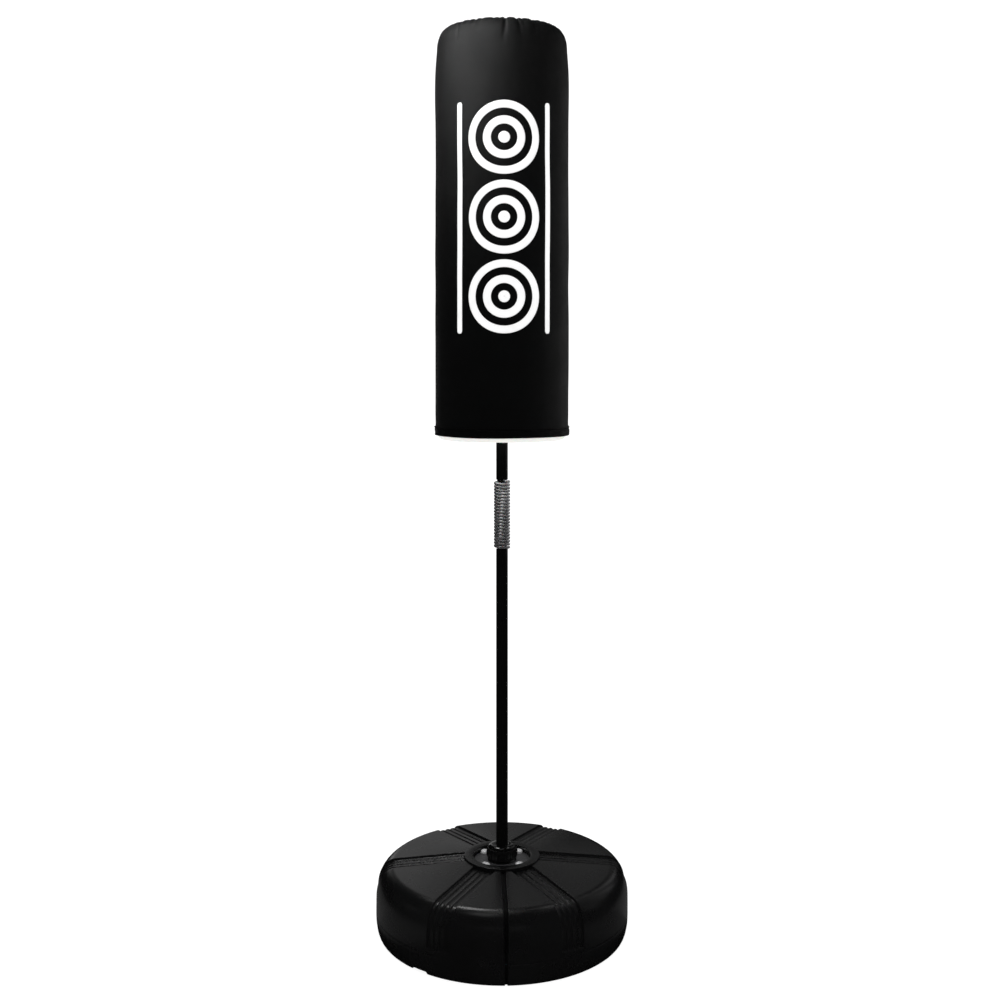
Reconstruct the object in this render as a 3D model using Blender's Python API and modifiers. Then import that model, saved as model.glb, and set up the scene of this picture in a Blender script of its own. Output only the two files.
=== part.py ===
"""Free-standing punching bag: a fillable round base, a bolted hub, a sprung steel pole and a padded bag.

Metres, +Z up, the front faces -Y. The origin is the middle of the base's underside, on the floor.
Run it with: blender --background --python part.py
"""
import math

import bmesh
import bpy
from mathutils import Matrix, Vector

# ---------------------------------------------------------------- driving sizes, in metres
GAP = 0.0003                      # between two pieces that touch

BASE_RADIUS = 0.235
FOOT_TUCK = 0.0095                # the side tucks in this much at the floor
FOOT_HEIGHT = 0.036               # the side tucks in below this
DECK_TOP = 0.133                  # height of the deck at the hub ring
DECK_FALL = 0.010                 # from the hub ring to the shoulder
SHOULDER_WIDTH = 0.043
SHOULDER_HEIGHT = 0.059
SHOULDER_POWER = 2.5              # 2 is an ellipse, more is squarer
WALL = 0.004                      # moulded wall of the shell

CHANNEL_ANGLES = (30, 90, 150, 210, 270, 330)   # degrees round from the front
CHANNEL_WIDTH = 0.045
CHANNEL_DEPTH = 0.004
CHANNEL_BOTTOM = 0.048
GROOVE_WIDTH = 0.009              # the single groove at the front
GROOVE_DEPTH = 0.006
FOOT_NOTCH_ANGLE = -41            # shallow relief in the bottom edge, front left
FOOT_NOTCH_WIDTH = 0.037
FOOT_NOTCH_HEIGHT = 0.006
FOOT_NOTCH_DEPTH = 0.007

RING_WIDTH = 0.0168               # raised ring round the plate
RING_HEIGHT = 0.003               # above the deck
PLATE_RADIUS = 0.053
PLATE_THICKNESS = 0.0032
PLATE_SETBACK = 0.009             # top of the ring to top of the plate
BOLT_SETBACK = 0.0085             # from the plate's edge to a bolt's axis
BOLT_COUNT = 4
BOLT_RADIUS = 0.004
BOLT_LENGTH = 0.022
BOLT_HEAD_RADIUS = 0.008
BOLT_HEAD_HEIGHT = 0.0055
BOLT_RECESS_WIDTH = 0.0022
BOLT_RECESS_DEPTH = 0.0022
INSERT_WALL = 0.003
INSERT_LENGTH = 0.018
HUB_BLOCK_SETBACK = 0.0047        # solid plastic under the plate, from the ring's edge
HUB_BLOCK_UNDER_INSERTS = 0.0074

POLE_RADIUS = 0.011
POLE_WALL = 0.002
BUSH_WALL = 0.0039
BUSH_LENGTH = 0.090
SOCKET_WALL = 0.0025
SOCKET_STANDOUT = 0.019           # socket above the plate
WELL_FLOOR = 0.008
FLANGE_WIDTH = 0.009              # each of these three from the socket's outside
FLANGE_HEIGHT = 0.0037
COLLAR_WIDTH = 0.0102             # at its two ends
COLLAR_BULGE = 0.0013             # more radius half way up
COLLAR_HEIGHT = 0.019
COLLAR_CAP_WIDTH = 0.0076
COLLAR_CAP_HEIGHT = 0.0065

FILLER_DROP = 0.051               # from the deck's top to the filling hole, at the back
FILLER_CAP_CLEARANCE = 0.0015     # round the cap
FILLER_POCKET_DEPTH = 0.0125      # from the side wall to the pocket's floor
FILLER_HOLE_RADIUS = 0.018
FILLER_PLUG_LENGTH = 0.016
FILLER_CAP_RADIUS = 0.025
FILLER_CAP_THICKNESS = 0.009
FILLER_SLOT_LENGTH = 0.036        # coin slot across the cap
FILLER_SLOT_WIDTH = 0.0045
FILLER_SLOT_DEPTH = 0.004
GASKET_THICKNESS = 0.002

SPRING_BOTTOM = 0.710
SPRING_LENGTH = 0.130
SPRING_PROUD = 0.0045             # from the pole's outside to the spring's
SPRING_WIRE_RADIUS = 0.0026
SPRING_PITCH = 0.00585
PLUG_STEM_LENGTH = 0.040          # inside the pole
PLUG_HUB_LENGTH = 0.022           # inside the spring

COVER_RADIUS = 0.125
COVER_THICKNESS = 0.002
COVER_LENGTH = 0.7575
COVER_ABOVE_SPRING = 0.0845
COVER_TAPER_LENGTH = 0.054        # where the sleeve narrows below the crown
COVER_CROWN_HEIGHT = 0.038
COVER_TAPER = 0.0028              # radius lost over the taper
COVER_CROWN_WIDTH = 0.0222        # from the round top panel to the side
HEM_HEIGHT = 0.016
HEM_THICKNESS = 0.0015
FOAM_OVERHANG = 0.0085            # foam below the cover's lower edge
FOAM_EDGE_RADIUS = 0.014
FOAM_OVER_PLUG = 0.008            # foam between the liner's plug and the top panel
LINER_WALL = 0.0025
LINER_CLEARANCE = 0.0005          # round the pole
LINER_PLUG_THICKNESS = 0.006
END_CAP_THICKNESS = 0.004
END_CAP_STEM = 0.020

BASE_SEGMENTS = 48
BAG_SEGMENTS = 48
HUB_SEGMENTS = 32
SMALL_SEGMENTS = 16
SPRING_STEPS_PER_TURN = 10

# ---------------------------------------------------------------- sizes that follow
FOOT_RADIUS = BASE_RADIUS - FOOT_TUCK
SHOULDER_RADIUS = BASE_RADIUS - SHOULDER_WIDTH
SHOULDER_TOP = DECK_TOP - DECK_FALL
SHOULDER_BOTTOM = SHOULDER_TOP - SHOULDER_HEIGHT
RING_TOP = DECK_TOP + RING_HEIGHT
PLATE_TOP = RING_TOP - PLATE_SETBACK
PLATE_BOTTOM = PLATE_TOP - PLATE_THICKNESS
RECESS_FLOOR = PLATE_BOTTOM - GAP
RECESS_RADIUS = PLATE_RADIUS + 3 * GAP
RING_RADIUS = RECESS_RADIUS + RING_WIDTH
BOLT_CIRCLE_RADIUS = PLATE_RADIUS - BOLT_SETBACK
INSERT_RADIUS = BOLT_RADIUS + GAP + INSERT_WALL
INSERT_POCKET_DEPTH = INSERT_LENGTH + 3 * GAP
BOLT_REACH = BOLT_LENGTH - PLATE_THICKNESS         # below the plate
HUB_BLOCK_RADIUS = RING_RADIUS - HUB_BLOCK_SETBACK
HUB_BLOCK_BOTTOM = RECESS_FLOOR - max(INSERT_POCKET_DEPTH, BOLT_REACH) - HUB_BLOCK_UNDER_INSERTS

BUSH_BORE = POLE_RADIUS + GAP
BUSH_RADIUS = BUSH_BORE + BUSH_WALL
SOCKET_BORE = BUSH_RADIUS + GAP
SOCKET_RADIUS = SOCKET_BORE + SOCKET_WALL
SOCKET_TOP = PLATE_TOP + SOCKET_STANDOUT
WELL_RADIUS = SOCKET_RADIUS + GAP
FLANGE_RADIUS = SOCKET_RADIUS + FLANGE_WIDTH
COLLAR_RADIUS = SOCKET_RADIUS + COLLAR_WIDTH
COLLAR_CAP_RADIUS = SOCKET_RADIUS + COLLAR_CAP_WIDTH
FLANGE_BOTTOM = PLATE_TOP + GAP
COLLAR_BOTTOM = FLANGE_BOTTOM + FLANGE_HEIGHT + GAP
COLLAR_CAP_BOTTOM = COLLAR_BOTTOM + COLLAR_HEIGHT + GAP
COLLAR_BORE = SOCKET_RADIUS + GAP

FILLER_HEIGHT = DECK_TOP - FILLER_DROP
FILLER_POCKET_RADIUS = FILLER_CAP_RADIUS + FILLER_CAP_CLEARANCE
POCKET_FLOOR = BASE_RADIUS - FILLER_POCKET_DEPTH
GASKET_SEAT = POCKET_FLOOR + GAP
CAP_SEAT = GASKET_SEAT + GASKET_THICKNESS + GAP

SPRING_TOP = SPRING_BOTTOM + SPRING_LENGTH
SPRING_RADIUS = POLE_RADIUS + SPRING_PROUD
SPRING_MEAN_RADIUS = SPRING_RADIUS - SPRING_WIRE_RADIUS
SPRING_INNER_RADIUS = SPRING_MEAN_RADIUS * math.cos(math.pi / SPRING_STEPS_PER_TURN) - SPRING_WIRE_RADIUS
PLUG_HUB_RADIUS = SPRING_INNER_RADIUS - GAP
PLUG_STEM_RADIUS = POLE_RADIUS - POLE_WALL - GAP
BEND_LOWER = SPRING_BOTTOM + SPRING_LENGTH / 4     # the two places where the spring gives
BEND_UPPER = SPRING_TOP - SPRING_LENGTH / 4

COVER_BOTTOM = SPRING_TOP + COVER_ABOVE_SPRING
COVER_TOP = COVER_BOTTOM + COVER_LENGTH
COVER_TAPER_END = COVER_TOP - COVER_CROWN_HEIGHT
COVER_TAPER_START = COVER_TAPER_END - COVER_TAPER_LENGTH
COVER_WAIST_RADIUS = COVER_RADIUS - COVER_TAPER
COVER_TOP_RADIUS = COVER_WAIST_RADIUS - COVER_CROWN_WIDTH
TOP_PANEL_BOTTOM = COVER_TOP - COVER_THICKNESS
FOAM_TOP = TOP_PANEL_BOTTOM - GAP
LINER_PLUG_TOP = FOAM_TOP - FOAM_OVER_PLUG
LINER_PLUG_BOTTOM = LINER_PLUG_TOP - LINER_PLUG_THICKNESS
LINER_BORE = POLE_RADIUS + LINER_CLEARANCE
LINER_RADIUS = LINER_BORE + LINER_WALL
FOAM_BORE = LINER_RADIUS + GAP
FOAM_BOTTOM = COVER_BOTTOM - FOAM_OVERHANG
END_CAP_BOTTOM = LINER_PLUG_BOTTOM - GAP - END_CAP_THICKNESS
UPPER_POLE_TOP = END_CAP_BOTTOM - GAP


# ---------------------------------------------------------------- scene and materials
def clear_scene():
    for old in list(bpy.data.objects):
        bpy.data.objects.remove(old, do_unlink=True)


def collection(name):
    made = bpy.data.collections.new(name)
    bpy.context.scene.collection.children.link(made)
    return made


def material(name, colour, roughness, metallic=0.0):
    made = bpy.data.materials.new(name)
    made.use_nodes = True
    shader = made.node_tree.nodes["Principled BSDF"]
    shader.inputs["Base Color"].default_value = (*colour, 1.0)
    shader.inputs["Roughness"].default_value = roughness
    shader.inputs["Metallic"].default_value = metallic
    return made


# ---------------------------------------------------------------- shape tools
def add_object(name, mesh, position=(0, 0, 0), parent=None, look=None):
    """Puts a mesh in the bag's collection; a parent is an empty that has only a location."""
    obj = bpy.data.objects.new(name, mesh)
    bpy.data.collections["free_standing_punching_bag"].objects.link(obj)
    obj.location = position
    if parent:
        obj.parent = parent
        obj.location = Vector(position) - parent.location
    if look:
        mesh.materials.append(look)
    return obj


def as_cutter(obj):
    obj.hide_render = True
    obj.display_type = "WIRE"
    bpy.data.collections["free_standing_punching_bag"].objects.unlink(obj)
    bpy.data.collections["cutters"].objects.link(obj)
    return obj


def pivot(name, position):
    empty = bpy.data.objects.new(name, None)
    empty.location = position
    empty.empty_display_size = 0.03
    bpy.data.collections["free_standing_punching_bag"].objects.link(empty)
    return empty


def turned(name, outline, segments, **placing):
    """A solid turned about Z from (radius, height) points that run top to bottom on the outer side.

    An outline that starts and ends on the axis stays open; any other is closed into a ring's section.
    """
    count = len(outline)
    edges = [(i, i + 1) for i in range(count - 1)]
    if outline[0][0] > 0 or outline[-1][0] > 0:
        edges.append((count - 1, 0))
    mesh = bpy.data.meshes.new(name)
    mesh.from_pydata([(r, 0.0, z) for r, z in outline], edges, [])
    obj = add_object(name, mesh, **placing)
    screw = obj.modifiers.new("turn", "SCREW")
    screw.axis = "Z"
    screw.steps = segments
    screw.render_steps = segments
    screw.use_merge_vertices = True
    screw.merge_threshold = 1e-5
    screw.use_smooth_shade = True
    return obj


def tube_outline(radius, bore, length):
    """The section of a tube that stands on height 0; a bore of 0 gives a rod."""
    outer = [(radius, length), (radius, 0.0)]
    return [(bore, length)] + outer + [(bore, 0.0)]


def boolean(obj, cutter):
    step = obj.modifiers.new("cut", "BOOLEAN")
    step.operation = "DIFFERENCE"
    step.object = cutter
    step.solver = "EXACT"


def prism(outline, half_width):
    """A closed mesh: a flat (x, z) outline spread to both sides along y."""
    mesh = bpy.data.meshes.new("prism")
    form = bmesh.new()
    face = form.faces.new([form.verts.new((x, -half_width, z)) for x, z in outline])
    spread = bmesh.ops.extrude_face_region(form, geom=[face])
    moved = [item for item in spread["geom"] if isinstance(item, bmesh.types.BMVert)]
    bmesh.ops.translate(form, vec=(0, 2 * half_width, 0), verts=moved)
    bmesh.ops.recalc_face_normals(form, faces=form.faces)
    form.to_mesh(mesh)
    form.free()
    return mesh


def box_mesh(size, centre):
    mesh = bpy.data.meshes.new("box")
    form = bmesh.new()
    bmesh.ops.create_cube(form, size=1.0, matrix=Matrix.Translation(centre) @ Matrix.Diagonal((*size, 1.0)))
    form.to_mesh(mesh)
    form.free()
    return mesh


def cylinder_mesh(radius, bottom, top, segments):
    """A closed cylinder along Z."""
    mesh = bpy.data.meshes.new("cylinder")
    form = bmesh.new()
    bmesh.ops.create_cone(form, cap_ends=True, segments=segments, radius1=radius, radius2=radius,
                          depth=top - bottom, matrix=Matrix.Translation((0, 0, (bottom + top) / 2)))
    form.to_mesh(mesh)
    form.free()
    return mesh


def arc(centre, radii, start, end, steps, power=2.0):
    """Points on a quarter of a (super)ellipse round centre, from start to end, both in degrees from +r."""
    points = []
    for i in range(steps + 1):
        angle = math.radians(start + (end - start) * i / steps)
        r = centre[0] + radii[0] * abs(math.cos(angle)) ** (2 / power) * math.copysign(1, math.cos(angle))
        z = centre[1] + radii[1] * abs(math.sin(angle)) ** (2 / power) * math.copysign(1, math.sin(angle))
        points.append((r, z))
    return points


def inset(outline, distance):
    """Moves each point of a top-to-bottom outline inwards, square to the line through its neighbours."""
    moved = []
    for i, (r, z) in enumerate(outline):
        before = Vector(outline[max(i - 1, 0)])
        after = Vector(outline[min(i + 1, len(outline) - 1)])
        along = (after - before).normalized()
        moved.append((r + along.y * distance, z - along.x * distance))
    return moved


def turn_to(angle):
    """Turns +X to a place on the base that is this many degrees round from the front, seen from above."""
    return Matrix.Rotation(math.radians(angle - 90), 4, "Z")


# ---------------------------------------------------------------- base
def base_skin():
    """The base's outside, from the hub ring over the shoulder to the floor."""
    shoulder = arc((SHOULDER_RADIUS, SHOULDER_BOTTOM),
                   (BASE_RADIUS - SHOULDER_RADIUS, SHOULDER_TOP - SHOULDER_BOTTOM),
                   90, 0, 6, SHOULDER_POWER)
    foot = arc((FOOT_RADIUS, FOOT_HEIGHT), (BASE_RADIUS - FOOT_RADIUS, FOOT_HEIGHT), 0, -90, 4)
    return [(RING_RADIUS, DECK_TOP)] + shoulder + foot


def cut_channels(form, distance):
    """Cuts the six channels and the front groove into a base form that lies this far inside the skin."""
    arms = [(angle, CHANNEL_WIDTH, CHANNEL_DEPTH) for angle in CHANNEL_ANGLES]
    arms.append((0, GROOVE_WIDTH, GROOVE_DEPTH))
    bottom = CHANNEL_BOTTOM - distance
    beyond = BASE_RADIUS + WALL
    above = RING_TOP + WALL
    for angle, width, depth in arms:
        floor = [point for point in inset(base_skin(), depth + distance) if point[1] > bottom]
        floor[0] = (RING_RADIUS + GAP - distance, floor[0][1])
        floor += [(floor[-1][0], bottom), (beyond, bottom), (beyond, above), (floor[0][0], above)]
        arm = prism(floor, width / 2 + distance)
        arm.transform(turn_to(angle))
        boolean(form, as_cutter(add_object(f"{form.name}_channel_{angle}", arm)))


def foot_notch_cutter(name, distance):
    inner = FOOT_RADIUS - FOOT_NOTCH_DEPTH - distance
    top = FOOT_NOTCH_HEIGHT + distance
    length = BASE_RADIUS + WALL - inner
    mesh = box_mesh((length, FOOT_NOTCH_WIDTH + 2 * distance, top + WALL),
                    (inner + length / 2, 0, (top - WALL) / 2))
    mesh.transform(turn_to(FOOT_NOTCH_ANGLE))
    return as_cutter(add_object(name, mesh))


def filler_cutter(name, radius, floor):
    """A cylinder from the outside at the back inwards to a floor this far from the base's axis."""
    mesh = cylinder_mesh(radius, floor, BASE_RADIUS + WALL, HUB_SEGMENTS)
    cutter = as_cutter(add_object(name, mesh, (0, 0, FILLER_HEIGHT)))
    cutter.rotation_euler = (math.radians(-90), 0, 0)
    return cutter


def inner_form(name, distance, look=None):
    """The hollow of the base, this far inside the skin, channels, groove, notch and pocket included."""
    skin = inset(base_skin(), distance)
    skin[0] = (HUB_BLOCK_RADIUS + distance - WALL, skin[0][1])
    skin[-1] = (skin[-1][0], distance)
    block_bottom = HUB_BLOCK_BOTTOM - (distance - WALL)
    core = WELL_RADIUS + distance
    outline = [(core, block_bottom), (skin[0][0], block_bottom)] + skin + [(core, distance)]
    form = turned(name, outline, BASE_SEGMENTS, look=look)
    cut_channels(form, distance)
    boolean(form, foot_notch_cutter(name + "_foot_notch", distance))
    boolean(form, filler_cutter(name + "_pocket", FILLER_POCKET_RADIUS + distance, POCKET_FLOOR - distance))
    return form


def base_shell(look):
    outline = [(0, WELL_FLOOR), (WELL_RADIUS, WELL_FLOOR), (WELL_RADIUS, RECESS_FLOOR),
               (RECESS_RADIUS, RECESS_FLOOR), (RECESS_RADIUS, RING_TOP), (RING_RADIUS, RING_TOP)]
    shell = turned("base_shell", outline + base_skin() + [(0, 0)], BASE_SEGMENTS, look=look)
    cut_channels(shell, 0.0)
    boolean(shell, foot_notch_cutter("shell_foot_notch", 0.0))
    boolean(shell, filler_cutter("shell_pocket", FILLER_POCKET_RADIUS, POCKET_FLOOR))
    boolean(shell, as_cutter(inner_form("shell_hollow", WALL)))
    boolean(shell, filler_cutter("shell_filling_hole", FILLER_HOLE_RADIUS, POCKET_FLOOR - 2 * WALL))
    for number, (x, y) in enumerate(bolt_places(), 1):
        pocket = cylinder_mesh(INSERT_RADIUS + GAP, RECESS_FLOOR - INSERT_POCKET_DEPTH,
                               RECESS_FLOOR + WALL, SMALL_SEGMENTS)
        boolean(shell, as_cutter(add_object(f"insert_pocket_{number}", pocket, (x, y, 0))))
        shank = cylinder_mesh(BOLT_RADIUS + GAP, RECESS_FLOOR - max(BOLT_REACH, INSERT_POCKET_DEPTH) - GAP,
                              RECESS_FLOOR, SMALL_SEGMENTS)
        boolean(shell, as_cutter(add_object(f"bolt_hole_{number}", shank, (x, y, 0))))
    return shell


def ballast_fill(look):
    fill = inner_form("ballast_fill", WALL + GAP, look)
    around_plug = CAP_SEAT - FILLER_PLUG_LENGTH - WALL
    boolean(fill, filler_cutter("ballast_air_space", FILLER_HOLE_RADIUS + WALL, around_plug))
    return fill


def filler_closure(cap_look, gasket_look):
    """The gasket and the screw cap, both turned about the hole's axis, which points to the back."""
    axis = pivot("filler_axis", (0, CAP_SEAT, FILLER_HEIGHT))
    gasket = turned("filler_gasket", tube_outline(FILLER_CAP_RADIUS - 2 * GAP, FILLER_HOLE_RADIUS,
                                                  GASKET_THICKNESS),
                    HUB_SEGMENTS, position=(0, GASKET_SEAT, FILLER_HEIGHT), parent=axis, look=gasket_look)
    plug_radius = FILLER_HOLE_RADIUS - GAP
    chamfer = FILLER_CAP_THICKNESS / 6
    outline = [(0, FILLER_CAP_THICKNESS), (FILLER_CAP_RADIUS - chamfer, FILLER_CAP_THICKNESS),
               (FILLER_CAP_RADIUS, FILLER_CAP_THICKNESS - chamfer), (FILLER_CAP_RADIUS, 0),
               (plug_radius, 0), (plug_radius, -FILLER_PLUG_LENGTH), (0, -FILLER_PLUG_LENGTH)]
    cap = turned("filler_cap", outline, HUB_SEGMENTS, position=axis.location, parent=axis, look=cap_look)
    size = (FILLER_SLOT_LENGTH, FILLER_SLOT_WIDTH, 2 * FILLER_SLOT_DEPTH)
    bar = box_mesh(size, (0, 0, FILLER_CAP_THICKNESS))
    slot = as_cutter(add_object("filler_cap_slot", bar, axis.location, axis))
    boolean(cap, slot)
    for piece in (gasket, cap, slot):
        piece.rotation_euler = (math.radians(-90), 0, 0)


# ---------------------------------------------------------------- hub
def bolt_places():
    for number in range(BOLT_COUNT):
        angle = 2 * math.pi * (number + 0.5) / BOLT_COUNT
        yield BOLT_CIRCLE_RADIUS * math.cos(angle), BOLT_CIRCLE_RADIUS * math.sin(angle)


def mounting_plate(look):
    plate = turned("mounting_plate", tube_outline(PLATE_RADIUS, SOCKET_RADIUS + GAP, PLATE_THICKNESS),
                   HUB_SEGMENTS, position=(0, 0, PLATE_BOTTOM), look=look)
    for number, (x, y) in enumerate(bolt_places(), 1):
        hole = cylinder_mesh(BOLT_RADIUS + GAP, PLATE_BOTTOM - WALL, PLATE_TOP + WALL, SMALL_SEGMENTS)
        boolean(plate, as_cutter(add_object(f"plate_hole_{number}", hole, (x, y, 0))))


def plate_bolts(bolt_look, insert_look):
    """Pan-head screws with a cross recess, each in its own threaded insert."""
    head_edge = BOLT_HEAD_HEIGHT * 0.45
    dome = arc((0, head_edge), (BOLT_HEAD_RADIUS, BOLT_HEAD_HEIGHT - head_edge), 90, 0, 4, 2.6)
    outline = dome + [(BOLT_HEAD_RADIUS, 0), (BOLT_RADIUS, 0), (BOLT_RADIUS, -BOLT_LENGTH), (0, -BOLT_LENGTH)]
    recess_length = BOLT_HEAD_RADIUS * 1.1
    recess_middle = BOLT_HEAD_HEIGHT - BOLT_RECESS_DEPTH / 2 + GAP
    for number, (x, y) in enumerate(bolt_places(), 1):
        seat = (x, y, PLATE_TOP + GAP)
        bolt = turned(f"plate_bolt_{number}", outline, SMALL_SEGMENTS, position=seat, look=bolt_look)
        for slot in (1, 2):
            size = (recess_length, BOLT_RECESS_WIDTH, BOLT_RECESS_DEPTH + 2 * GAP)
            bar = box_mesh(size, (0, 0, recess_middle))
            cutter = as_cutter(add_object(f"bolt_{number}_slot_{slot}", bar, seat))
            cutter.rotation_euler.z = slot * math.pi / 2
            boolean(bolt, cutter)
        turned(f"threaded_insert_{number}",
               tube_outline(INSERT_RADIUS, BOLT_RADIUS + GAP, INSERT_LENGTH),
               SMALL_SEGMENTS, position=(x, y, RECESS_FLOOR - INSERT_LENGTH - GAP), look=insert_look)


def pole_hub(metal, gloss, ribbed, nylon):
    """What holds the pole: socket, bush, foot flange, hand collar and its domed cap."""
    socket_bottom = WELL_FLOOR + GAP
    turned("pole_socket", tube_outline(SOCKET_RADIUS, SOCKET_BORE, SOCKET_TOP - socket_bottom),
           HUB_SEGMENTS, position=(0, 0, socket_bottom), look=metal)
    turned("pole_bush", tube_outline(BUSH_RADIUS, BUSH_BORE, BUSH_LENGTH),
           HUB_SEGMENTS, position=(0, 0, SOCKET_TOP - BUSH_LENGTH), look=nylon)
    edge = FLANGE_HEIGHT / 3
    flange = [(COLLAR_BORE, FLANGE_HEIGHT), (FLANGE_RADIUS - edge, FLANGE_HEIGHT),
              (FLANGE_RADIUS, FLANGE_HEIGHT - edge), (FLANGE_RADIUS, 0), (COLLAR_BORE, 0)]
    turned("socket_flange", flange, HUB_SEGMENTS, position=(0, 0, FLANGE_BOTTOM), look=gloss)

    axis = pivot("collar_axis", (0, 0, COLLAR_BOTTOM))
    barrel = []
    for step in range(7):
        share = step / 6
        barrel.append((COLLAR_RADIUS + COLLAR_BULGE * math.sin(math.pi * share), COLLAR_HEIGHT * (1 - share)))
    turned("lock_collar", [(COLLAR_BORE, COLLAR_HEIGHT)] + barrel + [(COLLAR_BORE, 0)], HUB_SEGMENTS,
           position=axis.location, parent=axis, look=ribbed)
    rim = COLLAR_CAP_HEIGHT * 0.3
    throat = POLE_RADIUS + GAP
    dome = arc((throat, rim), (COLLAR_CAP_RADIUS - throat, COLLAR_CAP_HEIGHT - rim), 90, 0, 5)
    turned("collar_cap", dome + [(COLLAR_CAP_RADIUS, 0), (throat, 0)], HUB_SEGMENTS,
           position=(0, 0, COLLAR_CAP_BOTTOM), parent=axis, look=gloss)


# ---------------------------------------------------------------- pole and spring
def spring_plug(name, upside_down, look, parent=None):
    """A stem in the pole and a hub in the spring; heights count from the pole's end."""
    outline = [(0, PLUG_HUB_LENGTH), (PLUG_HUB_RADIUS, PLUG_HUB_LENGTH), (PLUG_HUB_RADIUS, GAP),
               (PLUG_STEM_RADIUS, GAP), (PLUG_STEM_RADIUS, -PLUG_STEM_LENGTH), (0, -PLUG_STEM_LENGTH)]
    end = SPRING_TOP if upside_down else SPRING_BOTTOM
    plug = turned(name, outline, HUB_SEGMENTS, position=(0, 0, end), parent=parent, look=look)
    if upside_down:
        plug.rotation_euler = (math.pi, 0, 0)


def coil_spring(look, parent):
    """One long helix of round wire, closed against the two pole ends."""
    first = SPRING_BOTTOM + SPRING_WIRE_RADIUS + GAP
    rise = SPRING_LENGTH - 2 * (SPRING_WIRE_RADIUS + GAP)
    steps = round(rise / SPRING_PITCH * SPRING_STEPS_PER_TURN)
    curve = bpy.data.curves.new("coil_spring", "CURVE")
    curve.dimensions = "3D"
    curve.bevel_depth = SPRING_WIRE_RADIUS
    curve.bevel_resolution = 2
    curve.use_fill_caps = True
    helix = curve.splines.new("POLY")
    helix.points.add(steps)
    for step, point in enumerate(helix.points):
        angle = 2 * math.pi * step / SPRING_STEPS_PER_TURN
        height = first + rise * step / steps - parent.location.z
        point.co = (SPRING_MEAN_RADIUS * math.cos(angle), SPRING_MEAN_RADIUS * math.sin(angle), height, 1)
    spring = add_object("coil_spring", curve, parent.location, parent)
    curve.materials.append(look)
    return spring


def pole(metal, steel, chrome, plastic, lower_pivot, upper_pivot):
    bore = POLE_RADIUS - POLE_WALL
    bottom = WELL_FLOOR + 2 * GAP
    turned("lower_pole", tube_outline(POLE_RADIUS, bore, SPRING_BOTTOM - bottom),
           HUB_SEGMENTS, position=(0, 0, bottom), look=metal)
    spring_plug("lower_spring_plug", False, steel)
    coil_spring(chrome, lower_pivot)
    spring_plug("upper_spring_plug", True, steel, upper_pivot)
    turned("upper_pole", tube_outline(POLE_RADIUS, bore, UPPER_POLE_TOP - SPRING_TOP),
           HUB_SEGMENTS, position=(0, 0, SPRING_TOP), parent=upper_pivot, look=metal)
    cap = [(0, END_CAP_THICKNESS), (POLE_RADIUS, END_CAP_THICKNESS), (POLE_RADIUS, 0), (bore - GAP, 0),
           (bore - GAP, -END_CAP_STEM), (0, -END_CAP_STEM)]
    turned("pole_end_cap", cap, HUB_SEGMENTS,
           position=(0, 0, END_CAP_BOTTOM), parent=upper_pivot, look=plastic)


# ---------------------------------------------------------------- bag
def cover_skin():
    """The cover's outside from the top panel's edge to the hem."""
    crown = arc((COVER_TOP_RADIUS, COVER_TAPER_END), (COVER_CROWN_WIDTH, COVER_CROWN_HEIGHT), 90, 0, 5)
    return crown + [(COVER_RADIUS, COVER_TAPER_START), (COVER_RADIUS, COVER_BOTTOM + GAP)]


def bag(foam_look, cover_look, hem_look, liner_look, plug_look, parent):
    skin = cover_skin()
    lining = inset(skin, COVER_THICKNESS)
    lining[0] = (COVER_TOP_RADIUS, TOP_PANEL_BOTTOM)
    lining[-1] = (lining[-1][0], skin[-1][1])
    turned("cover_body", skin + lining[::-1], BAG_SEGMENTS, parent=parent, look=cover_look)
    turned("cover_top", [(0, COVER_THICKNESS), (COVER_TOP_RADIUS - GAP, COVER_THICKNESS),
                         (COVER_TOP_RADIUS - GAP, 0), (0, 0)],
           BAG_SEGMENTS, position=(0, 0, TOP_PANEL_BOTTOM), parent=parent, look=cover_look)
    turned("cover_hem", tube_outline(COVER_RADIUS + GAP + HEM_THICKNESS, COVER_RADIUS + GAP, HEM_HEIGHT),
           BAG_SEGMENTS, position=(0, 0, COVER_BOTTOM), parent=parent, look=hem_look)

    side = inset(skin, COVER_THICKNESS + GAP)
    side[0] = (side[0][0], FOAM_TOP)
    foam_radius = side[-1][0]
    edge = arc((foam_radius - FOAM_EDGE_RADIUS, FOAM_BOTTOM + FOAM_EDGE_RADIUS),
               (FOAM_EDGE_RADIUS, FOAM_EDGE_RADIUS), 0, -90, 4)
    bore = [(FOAM_BORE, FOAM_BOTTOM), (FOAM_BORE, LINER_PLUG_TOP + GAP), (0, LINER_PLUG_TOP + GAP)]
    outline = [(0, FOAM_TOP)] + side[:-1] + edge + bore
    turned("foam_core", outline, BAG_SEGMENTS, parent=parent, look=foam_look)

    liner_bottom = FOAM_BOTTOM + GAP
    turned("core_tube", tube_outline(LINER_RADIUS, LINER_BORE, LINER_PLUG_BOTTOM - GAP - liner_bottom),
           HUB_SEGMENTS, position=(0, 0, liner_bottom), parent=parent, look=liner_look)
    disc = [(0, LINER_PLUG_THICKNESS), (LINER_RADIUS, LINER_PLUG_THICKNESS), (LINER_RADIUS, 0), (0, 0)]
    turned("core_plug", disc, HUB_SEGMENTS, position=(0, 0, LINER_PLUG_BOTTOM), parent=parent, look=plug_look)


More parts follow.
